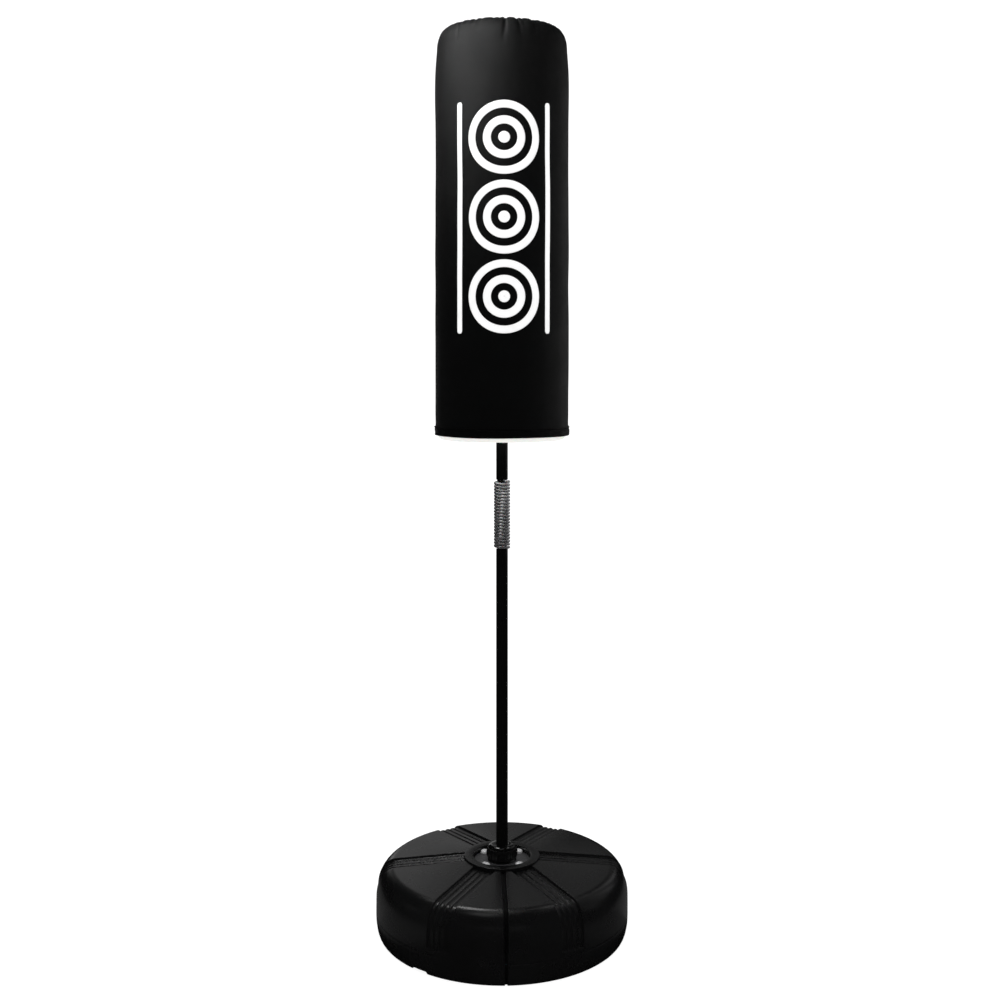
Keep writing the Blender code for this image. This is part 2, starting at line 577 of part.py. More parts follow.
def main():
    clear_scene()
    collection("free_standing_punching_bag")
    collection("cutters")
    shell_plastic = material("shell_plastic", (0.012, 0.012, 0.013), 0.32)
    water = material("water", (0.25, 0.45, 0.55), 0.1)
    cap_plastic = material("cap_plastic", (0.015, 0.015, 0.016), 0.4)
    rubber = material("rubber", (0.02, 0.02, 0.02), 0.8)
    plate_metal = material("plate_metal", (0.11, 0.11, 0.11), 0.55, 0.6)
    zinc = material("zinc", (0.75, 0.75, 0.76), 0.25, 1.0)
    brass = material("brass", (0.72, 0.53, 0.22), 0.35, 1.0)
    pole_paint = material("pole_paint", (0.01, 0.01, 0.01), 0.3)
    gloss_black = material("gloss_black", (0.01, 0.01, 0.01), 0.12)
    collar_plastic = material("collar_plastic", (0.012, 0.012, 0.012), 0.6)
    nylon = material("nylon", (0.75, 0.74, 0.70), 0.5)
    spring_steel = material("spring_steel", (0.78, 0.78, 0.80), 0.18, 1.0)
    foam = material("foam", (0.86, 0.86, 0.85), 0.95)
    cover_fabric = material("cover_fabric", (0.012, 0.012, 0.013), 0.75)
    hem_fabric = material("hem_fabric", (0.014, 0.014, 0.015), 0.75)
    liner_plastic = material("liner_plastic", (0.6, 0.6, 0.6), 0.5)

    base_shell(shell_plastic)
    ballast_fill(water)
    filler_closure(cap_plastic, rubber)
    mounting_plate(plate_metal)
    plate_bolts(zinc, brass)
    pole_hub(pole_paint, gloss_black, collar_plastic, nylon)
    lower_pivot = pivot("spring_bend_lower", (0, 0, BEND_LOWER))
    upper_pivot = pivot("spring_bend_upper", (0, 0, BEND_UPPER))
    pole(pole_paint, zinc, spring_steel, cap_plastic, lower_pivot, upper_pivot)
    bag(foam, cover_fabric, hem_fabric, liner_plastic, nylon, upper_pivot)


main()
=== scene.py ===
"""Looks of the free-standing punching bag: moulded base, bolted hub, sprung pole, padded bag and its plain studio.

Metres, +Z up, the front faces -Y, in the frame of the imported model.
"""
import math

import bmesh
import bpy
import numpy as np
from bpy.props import FloatProperty, FloatVectorProperty, IntProperty, PointerProperty
from bpy.types import Operator, Panel, PropertyGroup
from mathutils import Matrix, Vector
from mathutils.bvhtree import BVHTree


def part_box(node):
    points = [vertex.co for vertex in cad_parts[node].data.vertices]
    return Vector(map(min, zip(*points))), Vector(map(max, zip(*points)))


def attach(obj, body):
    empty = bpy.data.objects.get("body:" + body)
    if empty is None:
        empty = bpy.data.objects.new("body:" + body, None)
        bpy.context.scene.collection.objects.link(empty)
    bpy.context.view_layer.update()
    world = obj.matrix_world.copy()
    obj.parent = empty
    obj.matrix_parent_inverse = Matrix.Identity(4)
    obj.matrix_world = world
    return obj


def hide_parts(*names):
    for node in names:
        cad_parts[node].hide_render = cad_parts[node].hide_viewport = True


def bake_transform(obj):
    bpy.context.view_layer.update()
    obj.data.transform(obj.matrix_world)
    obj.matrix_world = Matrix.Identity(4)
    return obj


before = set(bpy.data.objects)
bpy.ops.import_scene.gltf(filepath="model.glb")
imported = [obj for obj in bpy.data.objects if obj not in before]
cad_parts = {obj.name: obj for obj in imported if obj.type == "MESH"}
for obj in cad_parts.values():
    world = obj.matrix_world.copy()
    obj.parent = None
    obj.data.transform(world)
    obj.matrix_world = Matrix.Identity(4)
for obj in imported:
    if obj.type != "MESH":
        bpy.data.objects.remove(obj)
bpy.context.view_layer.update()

bl_info = {
    "name": "Free-Standing Punching Bag",
    "version": (1, 0, 0),
    "blender": (4, 5, 0),
    "location": "View3D > Sidebar > Punching Bag",
    "description": "Builds the looks of a water-ballasted punching bag round its packed frame",
    "category": "Add Mesh",
}

CHANNEL_ANGLES = (30, 90, 150, 210, 270, 330)      # degrees round from the front, seen from above
GROOVE_DEPTH, GROOVE_HALF_WIDTH = 0.006, 0.0045    # the groove down the front of the base
LINE_DEPTH, LINE_HALF_WIDTH = 0.0036, 0.0026       # the thin line that goes on below it
RING_RADIUS = 0.0707                               # outside of the raised ring round the plate
HUB_BORE = 0.0183                                  # hole in the plate, flange and collar, and the shell's well
BOLT_CIRCLE_RADIUS = 0.0445
FILLER_HEIGHT = 0.082
HEM_HEIGHT = 0.016


# ---------------------------------------------------------------- kinds of setting
def length(name, description, default, least, most):
    return FloatProperty(name=name, description=description, default=default, min=least, max=most,
                         subtype="DISTANCE", unit="LENGTH")


def colour_choice(name, description, default):
    return FloatVectorProperty(name=name, description=description, default=default, subtype="COLOR", min=0.0, max=1.0)


def level(name, description):
    """How strong a group of lights is, against the strengths written in the studio."""
    return FloatProperty(name=name, description=description, default=1.0, min=0.0, max=10.0)


# ---------------------------------------------------------------- places read from the frame
def low(node):
    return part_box(node)[0]


def high(node):
    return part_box(node)[1]


SHELL_TOP = high("base_shell").z
SHELL_RADIUS = high("base_shell").x
PLATE_RADIUS = high("mounting_plate").x
PLATE_TOP = high("mounting_plate").z
PLATE_BOTTOM = low("mounting_plate").z
POLE_RADIUS = high("lower_pole").x
SPRING_BOTTOM = high("lower_pole").z
SPRING_TOP = low("upper_pole").z
SPRING_RADIUS = 0.0155
COVER_BOTTOM = low("cover_hem").z
COVER_TOP = high("cover_top").z
COVER_RADIUS = high("cover_body").x
COVER_TOP_RADIUS = high("cover_top").x + 0.0003
FOAM_BOTTOM = low("foam_core").z
FOAM_RADIUS = high("foam_core").x


# ---------------------------------------------------------------- shape tools
def rounded(corners, steps=5, closed=True):
    """Rounds an outline of (r, z, fillet) corners and returns its (r, z) points."""
    points = []
    count = len(corners)
    for i, (r, z, fillet) in enumerate(corners):
        if fillet <= 0 or (not closed and i in (0, count - 1)):
            points.append((r, z))
            continue
        here = Vector((r, z))
        before = Vector(corners[i - 1][:2]) - here
        after = Vector(corners[(i + 1) % count][:2]) - here
        a, b = before.normalized(), after.normalized()
        half = a.angle(b) / 2
        if half > math.radians(88):
            points.append((r, z))
            continue
        reach = min(fillet / math.tan(half), 0.48 * before.length, 0.48 * after.length)
        radius = reach * math.tan(half)
        start, end = here + a * reach, here + b * reach
        middle = here + (a + b).normalized() * (radius / math.sin(half))
        first = math.atan2(start.y - middle.y, start.x - middle.x)
        sweep = math.atan2(end.y - middle.y, end.x - middle.x) - first
        sweep = (sweep + math.pi) % (2 * math.pi) - math.pi
        for k in range(steps + 1):
            angle = first + sweep * k / steps
            points.append((middle.x + radius * math.cos(angle), middle.y + radius * math.sin(angle)))
    return points


def with_supports(outline, longest):
    """Adds points to an outline so that no step is longer than this."""
    points = [outline[0]]
    for here, there in zip(outline, outline[1:]):
        span = math.dist(here, there)
        parts = max(1, math.ceil(span / longest))
        for k in range(1, parts + 1):
            points.append((here[0] + (there[0] - here[0]) * k / parts, here[1] + (there[1] - here[1]) * k / parts))
    return points


def clockwise(outline):
    area = sum(a[0] * b[1] - b[0] * a[1] for a, b in zip(outline, outline[1:] + outline[:1]))
    return outline if area < 0 else outline[::-1]


def turned_mesh(name, outline, segments, shape=None):
    """Turns a closed (r, z) outline about Z. shape(r, z, angle) may move a point and returns (r, z)."""
    outline = clockwise(list(outline))
    on_axis = [i for i, (r, z) in enumerate(outline) if r < 1e-6]
    if on_axis:
        start = next(i for i in on_axis if outline[(i + 1) % len(outline)][0] >= 1e-6)
        outline = outline[start:] + outline[:start]
        while outline[-1][0] < 1e-6 and outline[-2][0] < 1e-6:
            outline.pop()
    form = bmesh.new()
    rings = []
    for r, z in outline:
        if r < 1e-6:
            rings.append([form.verts.new((0, 0, z))])
            continue
        ring = []
        for j in range(segments):
            angle = 2 * math.pi * j / segments
            rr, zz = shape(r, z, angle) if shape else (r, z)
            ring.append(form.verts.new((rr * math.cos(angle), rr * math.sin(angle), zz)))
        rings.append(ring)
    pairs = list(zip(rings, rings[1:]))
    if not on_axis:
        pairs.append((rings[-1], rings[0]))
    for upper, lower in pairs:
        for j in range(segments):
            k = (j + 1) % segments
            if len(upper) == 1 and len(lower) == 1:
                break
            if len(upper) == 1:
                form.faces.new((upper[0], lower[j], lower[k]))
            elif len(lower) == 1:
                form.faces.new((upper[j], lower[0], upper[k]))
            else:
                form.faces.new((upper[j], lower[j], lower[k], upper[k]))
    mesh = bpy.data.meshes.new(name)
    form.to_mesh(mesh)
    form.free()
    return mesh


def grid_mesh(name, points, uv=None, close_rows=False, cap=False):
    """A mesh of rows of points that close round the axis; rows run down the outer side, points counter-clockwise."""
    rows, columns = points.shape[:2]
    i, j = np.meshgrid(np.arange(rows if close_rows else rows - 1), np.arange(columns), indexing="ij")
    below, beside = (i + 1) % rows, (j + 1) % columns
    quads = np.stack([i * columns + j, below * columns + j, below * columns + beside, i * columns + beside], -1)
    quads = quads.reshape(-1, 4)
    faces = quads.tolist()
    if cap:
        faces.append(list(range(columns)))
        faces.append([(rows - 1) * columns + k for k in range(columns)][::-1])
    mesh = bpy.data.meshes.new(name)
    mesh.from_pydata(points.reshape(-1, 3).tolist(), [], faces)
    if uv is not None:
        layer = mesh.uv_layers.new(name="cloth")
        wide = np.concatenate([uv, uv[:, :1] + np.array([[[1.0, 0.0]]]) * uv_turn(uv)], 1)
        corners = np.stack([wide[i, j], wide[below, j], wide[below, j + 1], wide[i, j + 1]], 2)
        layer.data.foreach_set("uv", corners.reshape(-1).astype(np.float32))
    mesh.validate()
    return mesh


def uv_turn(uv):
    """The width of one whole turn in a cloth map whose columns are evenly spaced."""
    columns = uv.shape[1]
    return (uv[0, -1, 0] - uv[0, 0, 0]) * columns / (columns - 1)


def add_piece(name, mesh, look, smooth=35):
    obj = bpy.data.objects.new(name, mesh)
    bpy.context.scene.collection.objects.link(obj)
    mesh.materials.clear()
    mesh.materials.append(look)
    mesh.shade_smooth()
    if smooth:
        mesh.set_sharp_from_angle(angle=math.radians(smooth))
    return obj


def paint_nodes(look, *nodes):
    for node in nodes:
        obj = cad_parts[node]
        for slot in obj.material_slots:
            slot.material = look


def copy_of_node(node):
    """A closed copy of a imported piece's mesh."""
    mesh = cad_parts[node].data.copy()
    form = bmesh.new()
    form.from_mesh(mesh)
    bmesh.ops.remove_doubles(form, verts=form.verts, dist=1e-6)
    form.to_mesh(mesh)
    form.free()
    return mesh


def carve(obj, cutter_mesh):
    """Cuts a closed mesh out of a closed piece and leaves a plain mesh."""
    cutter = bpy.data.objects.new("cutter", cutter_mesh)
    bpy.context.scene.collection.objects.link(cutter)
    step = obj.modifiers.new("cut", "BOOLEAN")
    step.operation = "DIFFERENCE"
    step.solver = "MANIFOLD"
    step.object = cutter
    bake(obj)
    bpy.data.objects.remove(cutter)
    if not len(obj.data.polygons):
        raise RuntimeError(f"{obj.name} has no faces left after a cut")


def bake(obj):
    """Turns an object with modifiers into a plain mesh."""
    bpy.context.view_layer.update()
    graph = bpy.context.evaluated_depsgraph_get()
    mesh = bpy.data.meshes.new_from_object(obj.evaluated_get(graph), depsgraph=graph)
    obj.modifiers.clear()
    old, obj.data = obj.data, mesh
    mesh.name = obj.name
    if old.users == 0:
        bpy.data.meshes.remove(old)


def smooth_step(edge_low, edge_high, value):
    share = np.clip((value - edge_low) / (edge_high - edge_low), 0, 1)
    return share * share * (3 - 2 * share)


# ---------------------------------------------------------------- materials
def tree_node(tree, kind, inputs=None, **settings):
    """Adds a node; an input that is given a socket is linked to it, and any other input is set."""
    made = tree.nodes.new(kind)
    for key, value in settings.items():
        setattr(made, key, value)
    for key, value in (inputs or {}).items():
        socket = made.inputs[key]
        if isinstance(value, bpy.types.NodeSocket):
            tree.links.new(value, socket)
        else:
            socket.default_value = value
    return made


class Finish:
    """A material's nodes while they are being put together."""

    def __init__(self, name, colour, roughness, **constants):
        self.material = bpy.data.materials.new(name)
        self.material.use_nodes = True
        self.tree = self.material.node_tree
        self.shader = self.tree.nodes["Principled BSDF"]
        self.shader.inputs["Base Color"].default_value = (*colour[:3], 1.0)
        self.shader.inputs["Roughness"].default_value = roughness
        for socket, value in constants.items():
            self.shader.inputs[socket.replace("_", " ")].default_value = value

    def node(self, kind, inputs=None, **settings):
        return tree_node(self.tree, "ShaderNode" + kind, inputs, **settings)

    def place(self, scale=(1, 1, 1), cloth=False):
        coords = self.node("TexCoord").outputs["UV" if cloth else "Object"]
        if tuple(scale) == (1, 1, 1):
            return coords
        return self.node("Mapping", {"Vector": coords, "Scale": scale}).outputs["Vector"]

    def noise(self, vector, scale, detail=3.0, roughness=0.55, distortion=0.0):
        return self.node("TexNoise", {"Vector": vector, "Scale": scale, "Detail": detail,
                                      "Roughness": roughness, "Distortion": distortion}).outputs["Fac"]

    def span(self, value, from_low, from_high, to_low, to_high):
        return self.node("MapRange", {"Value": value, "From Min": from_low, "From Max": from_high,
                                      "To Min": to_low, "To Max": to_high}).outputs["Result"]

    def calc(self, operation, a, b=0.0):
        return self.node("Math", {0: a, 1: b}, operation=operation).outputs[0]

    def blend(self, share, colour_a, colour_b):
        made = self.node("Mix", data_type="RGBA")
        self.tree.links.new(share, made.inputs["Factor"])
        made.inputs[6].default_value = (*colour_a[:3], 1.0)
        made.inputs[7].default_value = (*colour_b[:3], 1.0)
        return made.outputs[2]

    def colour(self, socket):
        self.tree.links.new(socket, self.shader.inputs["Base Color"])

    def roughness(self, socket):
        self.tree.links.new(socket, self.shader.inputs["Roughness"])

    def relief(self, height, distance, strength=1.0, on=None):
        inputs = {"Height": height, "Distance": distance, "Strength": strength}
        if on is not None:
            inputs["Normal"] = on
        return self.node("Bump", inputs).outputs["Normal"]

    def normal(self, socket):
        self.tree.links.new(socket, self.shader.inputs["Normal"])


def tint(colour, factor):
    return tuple(min(1.0, c * factor) for c in colour[:3])


def moulded_plastic(name, colour, roughness, groove=False):
    """Blow-moulded polyethylene: fine pebble, slow waves in the wall, faint scuffs, and a matt front groove whose
    colour is darkened with painted shade.
    """
    finish = Finish(name, colour, roughness, Specular_IOR_Level=0.5)
    here = finish.place()
    cloud = finish.noise(here, 9, 4)
    pebble = finish.noise(here, 900, 2)
    scuffs = finish.noise(finish.place((40, 40, 6)), 3.0, 6, 0.7, 0.6)
    gloss = finish.calc("ADD", finish.span(cloud, 0.3, 0.7, roughness * 0.92, roughness * 1.1),
                        finish.span(scuffs, 0.7, 0.95, 0.0, 0.06))
    shade = cloud
    if groove:
        parts = finish.node("SeparateXYZ", {"Vector": here})
        near = finish.span(finish.calc("ABSOLUTE", parts.outputs["X"]), 0.0016, 0.0034, 1.0, 0.0)
        front = finish.span(parts.outputs["Y"], -0.0730, -0.0715, 1.0, 0.0)
        # The groove's mask makes it more matt and darkens its colour towards its middle; the darkening is painted
        # shade in the groove.
        groove_matt_and_painted_shade = finish.calc("MULTIPLY", near, front)
        gloss = finish.calc("ADD", gloss, finish.calc("MULTIPLY", groove_matt_and_painted_shade, 0.5))
        shade = finish.calc("SUBTRACT", cloud, finish.calc("MULTIPLY", groove_matt_and_painted_shade, 1.2))
    finish.colour(finish.blend(shade, tint(colour, 0.55), tint(colour, 1.5)))
    finish.roughness(gloss)
    waves = finish.relief(finish.noise(here, 14, 1.5), 0.0006, 0.30)
    finish.normal(finish.relief(pebble, 0.00008, 0.30, waves))
    return finish.material


def hammered_coat(name, colour):
    """Grey powder coat with a fine crinkle, its colour lighter on the crinkle's high spots and darker in its hollows.
    """
    finish = Finish(name, colour, 0.42, Metallic=0.35)
    here = finish.place()
    crinkle = finish.noise(here, 520, 3, 0.6, 0.4)
    cells = finish.node("TexVoronoi", {"Vector": here, "Scale": 380.0}).outputs["Distance"]
    finish.colour(finish.blend(finish.span(crinkle, 0.35, 0.7, 0.0, 1.0), tint(colour, 0.55), tint(colour, 1.7)))
    finish.roughness(finish.span(crinkle, 0.3, 0.7, 0.5, 0.32))
    finish.normal(finish.relief(crinkle, 0.0005, 0.8, finish.relief(cells, 0.0004, 0.5)))
    return finish.material


def plated(name, colour, roughness, metal=1.0):
    """Bright plating with hairline polish marks and a little dulling."""
    finish = Finish(name, colour, roughness, Metallic=metal)
    here = finish.place()
    dull = finish.noise(here, 160, 4)
    hair = finish.noise(finish.place((1, 1, 14)), 700, 2)
    finish.colour(finish.blend(dull, tint(colour, 0.86), colour))
    finish.roughness(finish.calc("ADD", finish.span(dull, 0.35, 0.75, roughness * 0.7, roughness * 1.6),
                                 finish.span(hair, 0.4, 0.8, 0.0, 0.05)))
    finish.normal(finish.relief(hair, 0.00004, 0.4))
    return finish.material


def tube_paint(name, colour, roughness):
    """Satin black stoved paint on drawn tube: slight orange peel and lengthwise draw lines."""
    finish = Finish(name, colour, roughness, Coat_Weight=0.08, Coat_Roughness=0.2, Specular_IOR_Level=0.3)
    here = finish.place()
    peel = finish.noise(here, 420, 2)
    draw = finish.noise(finish.place((1, 1, 0.02)), 420, 3)
    rubs = finish.noise(here, 30, 6, 0.7)
    finish.colour(finish.blend(rubs, tint(colour, 0.85), tint(colour, 1.25)))
    finish.roughness(finish.span(rubs, 0.35, 0.75, roughness * 0.9, roughness * 1.25))
    finish.normal(finish.relief(draw, 0.00006, 0.35, finish.relief(peel, 0.00008, 0.35)))
    return finish.material


def gloss_lacquer(name, colour, roughness):
    """Polished black plastic with faint wipe marks."""
    finish = Finish(name, colour, roughness, Coat_Weight=0.5, Coat_Roughness=0.06)
    here = finish.place()
    wipes = finish.noise(finish.place((1, 1, 5)), 120, 4, 0.65)
    finish.colour(finish.blend(wipes, tint(colour, 0.8), tint(colour, 1.2)))
    finish.roughness(finish.span(wipes, 0.4, 0.75, roughness, roughness * 2.0))
    finish.normal(finish.relief(finish.noise(here, 260, 2), 0.00003, 0.3))
    return finish.material


def grip_plastic(name, colour, roughness):
    """Matt moulded plastic with a spark-eroded grain."""
    finish = Finish(name, colour, roughness)
    here = finish.place()
    grain = finish.noise(here, 1400, 2)
    wear = finish.noise(here, 70, 5, 0.7)
    finish.colour(finish.blend(wear, tint(colour, 0.8), tint(colour, 1.35)))
    finish.roughness(finish.span(wear, 0.3, 0.75, roughness * 1.05, roughness * 0.82))
    finish.normal(finish.relief(grain, 0.00012, 0.6))
    return finish.material


def soft_rubber(name, colour):
    finish = Finish(name, colour, 0.8, Specular_IOR_Level=0.35)
    bloom = finish.noise(finish.place(), 90, 5, 0.7)
    finish.colour(finish.blend(bloom, tint(colour, 0.8), tint(colour, 1.5)))
    finish.normal(finish.relief(finish.noise(finish.place(), 1100, 2), 0.00010, 0.5))
    return finish.material


def cut_foam(name, colour):
    """White closed-cell foam: small open cells on its cut face, faint yellowing."""
    finish = Finish(name, colour, 0.95, Specular_IOR_Level=0.2, Subsurface_Weight=0.12, Subsurface_Scale=0.01)
    here = finish.place()
    cells = finish.node("TexVoronoi", {"Vector": here, "Scale": 520.0}).outputs["Distance"]
    blotch = finish.noise(here, 14, 4)
    finish.colour(finish.blend(blotch, colour, (colour[0] * 0.93, colour[1] * 0.92, colour[2] * 0.87)))
    finish.normal(finish.relief(cells, 0.0007, 0.7, finish.relief(finish.noise(here, 60, 3), 0.0008, 0.4)))
    return finish.material


def woven_cloth(name, colour, thread, roughness, sheen, specular=0.35, slub=0.25):
    """A plain weave in the cloth's own map: crossing yarns, slubs and slow changes of tone, with painted shade
    darkening the colour between the yarns.
    """
    finish = Finish(name, colour, roughness, Sheen_Weight=sheen, Sheen_Roughness=0.45,
                    Specular_IOR_Level=specular)
    flat = finish.place(cloth=True)
    parts = finish.node("SeparateXYZ", {"Vector": flat})
    across = finish.calc("MULTIPLY", parts.outputs["X"], math.pi / thread)
    along = finish.calc("MULTIPLY", parts.outputs["Y"], math.pi / thread)
    warp = finish.calc("ABSOLUTE", finish.calc("SINE", across))
    weft = finish.calc("ABSOLUTE", finish.calc("SINE", along))
    turn = finish.calc("MULTIPLY", finish.calc("SINE", across), finish.calc("SINE", along))
    over = finish.span(turn, -0.25, 0.25, 0.0, 1.0)
    height = finish.calc("ADD", finish.calc("MULTIPLY", warp, over),
                         finish.calc("MULTIPLY", weft, finish.calc("SUBTRACT", 1.0, over)))
    slubs = finish.noise(finish.node("Mapping", {"Vector": flat, "Scale": (1, 0.12, 1)}).outputs["Vector"], 420, 3)
    shade = finish.noise(flat, 16, 4)
    # Colour: half from the weave's relief, darker between the yarns as painted shade, and half from slow random tone.
    finish.colour(finish.blend(finish.calc("ADD", finish.calc("MULTIPLY", height, 0.5),
                                           finish.calc("MULTIPLY", shade, 0.5)),
                               tint(colour, 0.7), tint(colour, 1.35)))
    finish.roughness(finish.span(shade, 0.3, 0.75, roughness * 0.92, roughness * 1.08))
    weave = finish.relief(height, thread * 0.35, 0.5)
    finish.normal(finish.relief(slubs, 0.0002, slub, weave))
    return finish.material


def print_ink(name, colour):
    """Screen-printed ink: it settles into the weave and has small pinholes."""
    finish = Finish(name, colour, 0.5, Specular_IOR_Level=0.3)
    here = finish.place()
    weave = finish.node("TexVoronoi", {"Vector": here, "Scale": 1100.0}).outputs["Distance"]
    holes = finish.noise(here, 1500, 2)
    thin = finish.noise(here, 26, 5, 0.65)
    finish.colour(finish.blend(finish.calc("ADD", finish.span(holes, 0.66, 0.8, 0.0, 0.5),
                                           finish.span(thin, 0.5, 0.8, 0.0, 0.25)),
                               colour, tint(colour, 0.62)))
    finish.normal(finish.relief(weave, 0.0003, 0.4))
    return finish.material


def twisted_thread(name, colour):
    finish = Finish(name, colour, 0.6, Sheen_Weight=0.01)
    twist = finish.node("TexWave", {"Vector": finish.place(), "Scale": 900.0, "Distortion": 1.0}).outputs["Fac"]
    # The colour follows the twist's relief: darker in its grooves, which is painted shade.
    finish.colour(finish.blend(twist, tint(colour, 0.6), tint(colour, 1.6)))
    finish.normal(finish.relief(twist, 0.0001, 0.5))
    return finish.material


def still_water(name, colour):
    finish = Finish(name, colour, 0.08, IOR=1.33)
    murk = finish.noise(finish.place(), 6, 4)
    finish.colour(finish.blend(murk, tint(colour, 0.8), tint(colour, 1.1)))
    finish.normal(finish.relief(murk, 0.002, 0.2))
    return finish.material


def studio_paper(name, colour, glow):
    """Seamless paper that carries its own even light, so that only a faint shadow shows."""
    finish = Finish(name, tint(colour, 0.22), 0.9, Specular_IOR_Level=0.0, Emission_Strength=glow)
    finish.shader.inputs["Emission Color"].default_value = (*colour[:3], 1.0)
    tooth = finish.noise(finish.place(), 60, 3)
    finish.normal(finish.relief(tooth, 0.0004, 0.2))
    return finish.material


# ---------------------------------------------------------------- geometry node tools
def new_tree(name, sockets):
    """A geometry tree with a geometry input, these named inputs and a geometry output."""
    tree = bpy.data.node_groups.new(name, "GeometryNodeTree")
    tree.interface.new_socket("Geometry", in_out="INPUT", socket_type="NodeSocketGeometry")
    for label, kind, default in sockets:
        socket = tree.interface.new_socket(label, in_out="INPUT", socket_type="NodeSocket" + kind)
        if default is not None:
            socket.default_value = default
    tree.interface.new_socket("Geometry", in_out="OUTPUT", socket_type="NodeSocketGeometry")
    return tree, tree.nodes.new("NodeGroupInput"), tree.nodes.new("NodeGroupOutput")


def end_tree(tree, geometry, look, out):
    real = tree_node(tree, "GeometryNodeRealizeInstances", {"Geometry": geometry})
    painted = tree_node(tree, "GeometryNodeSetMaterial", {"Geometry": real.outputs[0], "Material": look})
    tree.links.new(painted.outputs[0], out.inputs[0])


def grow(name, tree, look, values, start_mesh=None, smooth=35):
    """Runs a geometry tree on a start mesh and keeps the result as a plain piece."""
    obj = bpy.data.objects.new(name, start_mesh or bpy.data.meshes.new(name))
    bpy.context.scene.collection.objects.link(obj)
    step = obj.modifiers.new("grow", "NODES")
    step.node_group = tree
    values = dict(values, Material=look)
    for item in tree.interface.items_tree:
        if item.item_type == "SOCKET" and item.in_out == "INPUT" and item.name in values:
            step[item.identifier] = values.pop(item.name)
    if values:
        raise RuntimeError(f"{name}: the tree has no input named {sorted(values)}")
    bake(obj)
    if not len(obj.data.polygons):
        raise RuntimeError(f"{name} came out empty")
    obj.data.shade_smooth()
    if smooth:
        obj.data.set_sharp_from_angle(angle=math.radians(smooth))
    return obj


def coil_tree():
    tree, into, out = new_tree("coil_of_wire", [
        ("Coil Radius", "Float", 0.0129), ("Wire Radius", "Float", 0.0026), ("Bottom", "Float", 0.713),
        ("Height", "Float", 0.062), ("Turns", "Float", 10.6), ("Start Angle", "Float", 0.0),
        ("Points Per Turn", "Int", 28), ("Material", "Material", None)])
    spiral = tree_node(tree, "GeometryNodeCurveSpiral", {
        "Resolution": into.outputs["Points Per Turn"], "Rotations": into.outputs["Turns"],
        "Start Radius": into.outputs["Coil Radius"], "End Radius": into.outputs["Coil Radius"],
        "Height": into.outputs["Height"]})
    wire = tree_node(tree, "GeometryNodeCurvePrimitiveCircle", {
        "Resolution": 14, "Radius": into.outputs["Wire Radius"]})
    round_wire = tree_node(tree, "GeometryNodeCurveToMesh", {
        "Curve": spiral.outputs[0], "Profile Curve": wire.outputs[0], "Fill Caps": True})
    lift = tree_node(tree, "ShaderNodeCombineXYZ", {"Z": into.outputs["Bottom"]})
    spin = tree_node(tree, "ShaderNodeCombineXYZ", {"Z": into.outputs["Start Angle"]})
    placed = tree_node(tree, "GeometryNodeTransform", {
        "Geometry": round_wire.outputs[0], "Translation": lift.outputs[0], "Rotation": spin.outputs[0]})
    end_tree(tree, placed.outputs[0], into.outputs["Material"], out)
    return tree


def ring_tree():
    """Copies of one object evenly round the axis, each turned to face outwards."""
    tree, into, out = new_tree("ring_of_copies", [
        ("Copy", "Object", None), ("Count", "Int", 4), ("Ring Radius", "Float", BOLT_CIRCLE_RADIUS),
        ("Height", "Float", 0.127), ("First Angle", "Float", 0.0), ("Spread Of Turns", "Float", 0.0),
        ("Seed", "Int", 7), ("Material", "Material", None)])
    ring = tree_node(tree, "GeometryNodeMeshCircle", {
        "Vertices": into.outputs["Count"], "Radius": into.outputs["Ring Radius"]})
    one = tree_node(tree, "GeometryNodeObjectInfo", {"Object": into.outputs["Copy"]})
    place = tree_node(tree, "GeometryNodeInputPosition")
    parts = tree_node(tree, "ShaderNodeSeparateXYZ", {0: place.outputs[0]})
    facing = tree_node(tree, "ShaderNodeMath", {0: parts.outputs["Y"], 1: parts.outputs["X"]}, operation="ARCTAN2")
    chance = tree_node(tree, "FunctionNodeRandomValue", data_type="FLOAT")
    tree.links.new(into.outputs["Spread Of Turns"], chance.inputs[3])
    tree.links.new(into.outputs["Seed"], chance.inputs["Seed"])
    turn = tree_node(tree, "ShaderNodeMath", {0: facing.outputs[0], 1: chance.outputs[1]}, operation="ADD")
    angles = tree_node(tree, "ShaderNodeCombineXYZ", {"Z": turn.outputs[0]})
    copies = tree_node(tree, "GeometryNodeInstanceOnPoints", {
        "Points": ring.outputs[0], "Instance": one.outputs["Geometry"], "Rotation": angles.outputs[0]})
    lift = tree_node(tree, "ShaderNodeCombineXYZ", {"Z": into.outputs["Height"]})
    spin = tree_node(tree, "ShaderNodeCombineXYZ", {"Z": into.outputs["First Angle"]})
    real = tree_node(tree, "GeometryNodeRealizeInstances", {"Geometry": copies.outputs[0]})
    placed = tree_node(tree, "GeometryNodeTransform", {
        "Geometry": real.outputs[0], "Translation": lift.outputs[0], "Rotation": spin.outputs[0]})
    end_tree(tree, placed.outputs[0], into.outputs["Material"], out)
    return tree


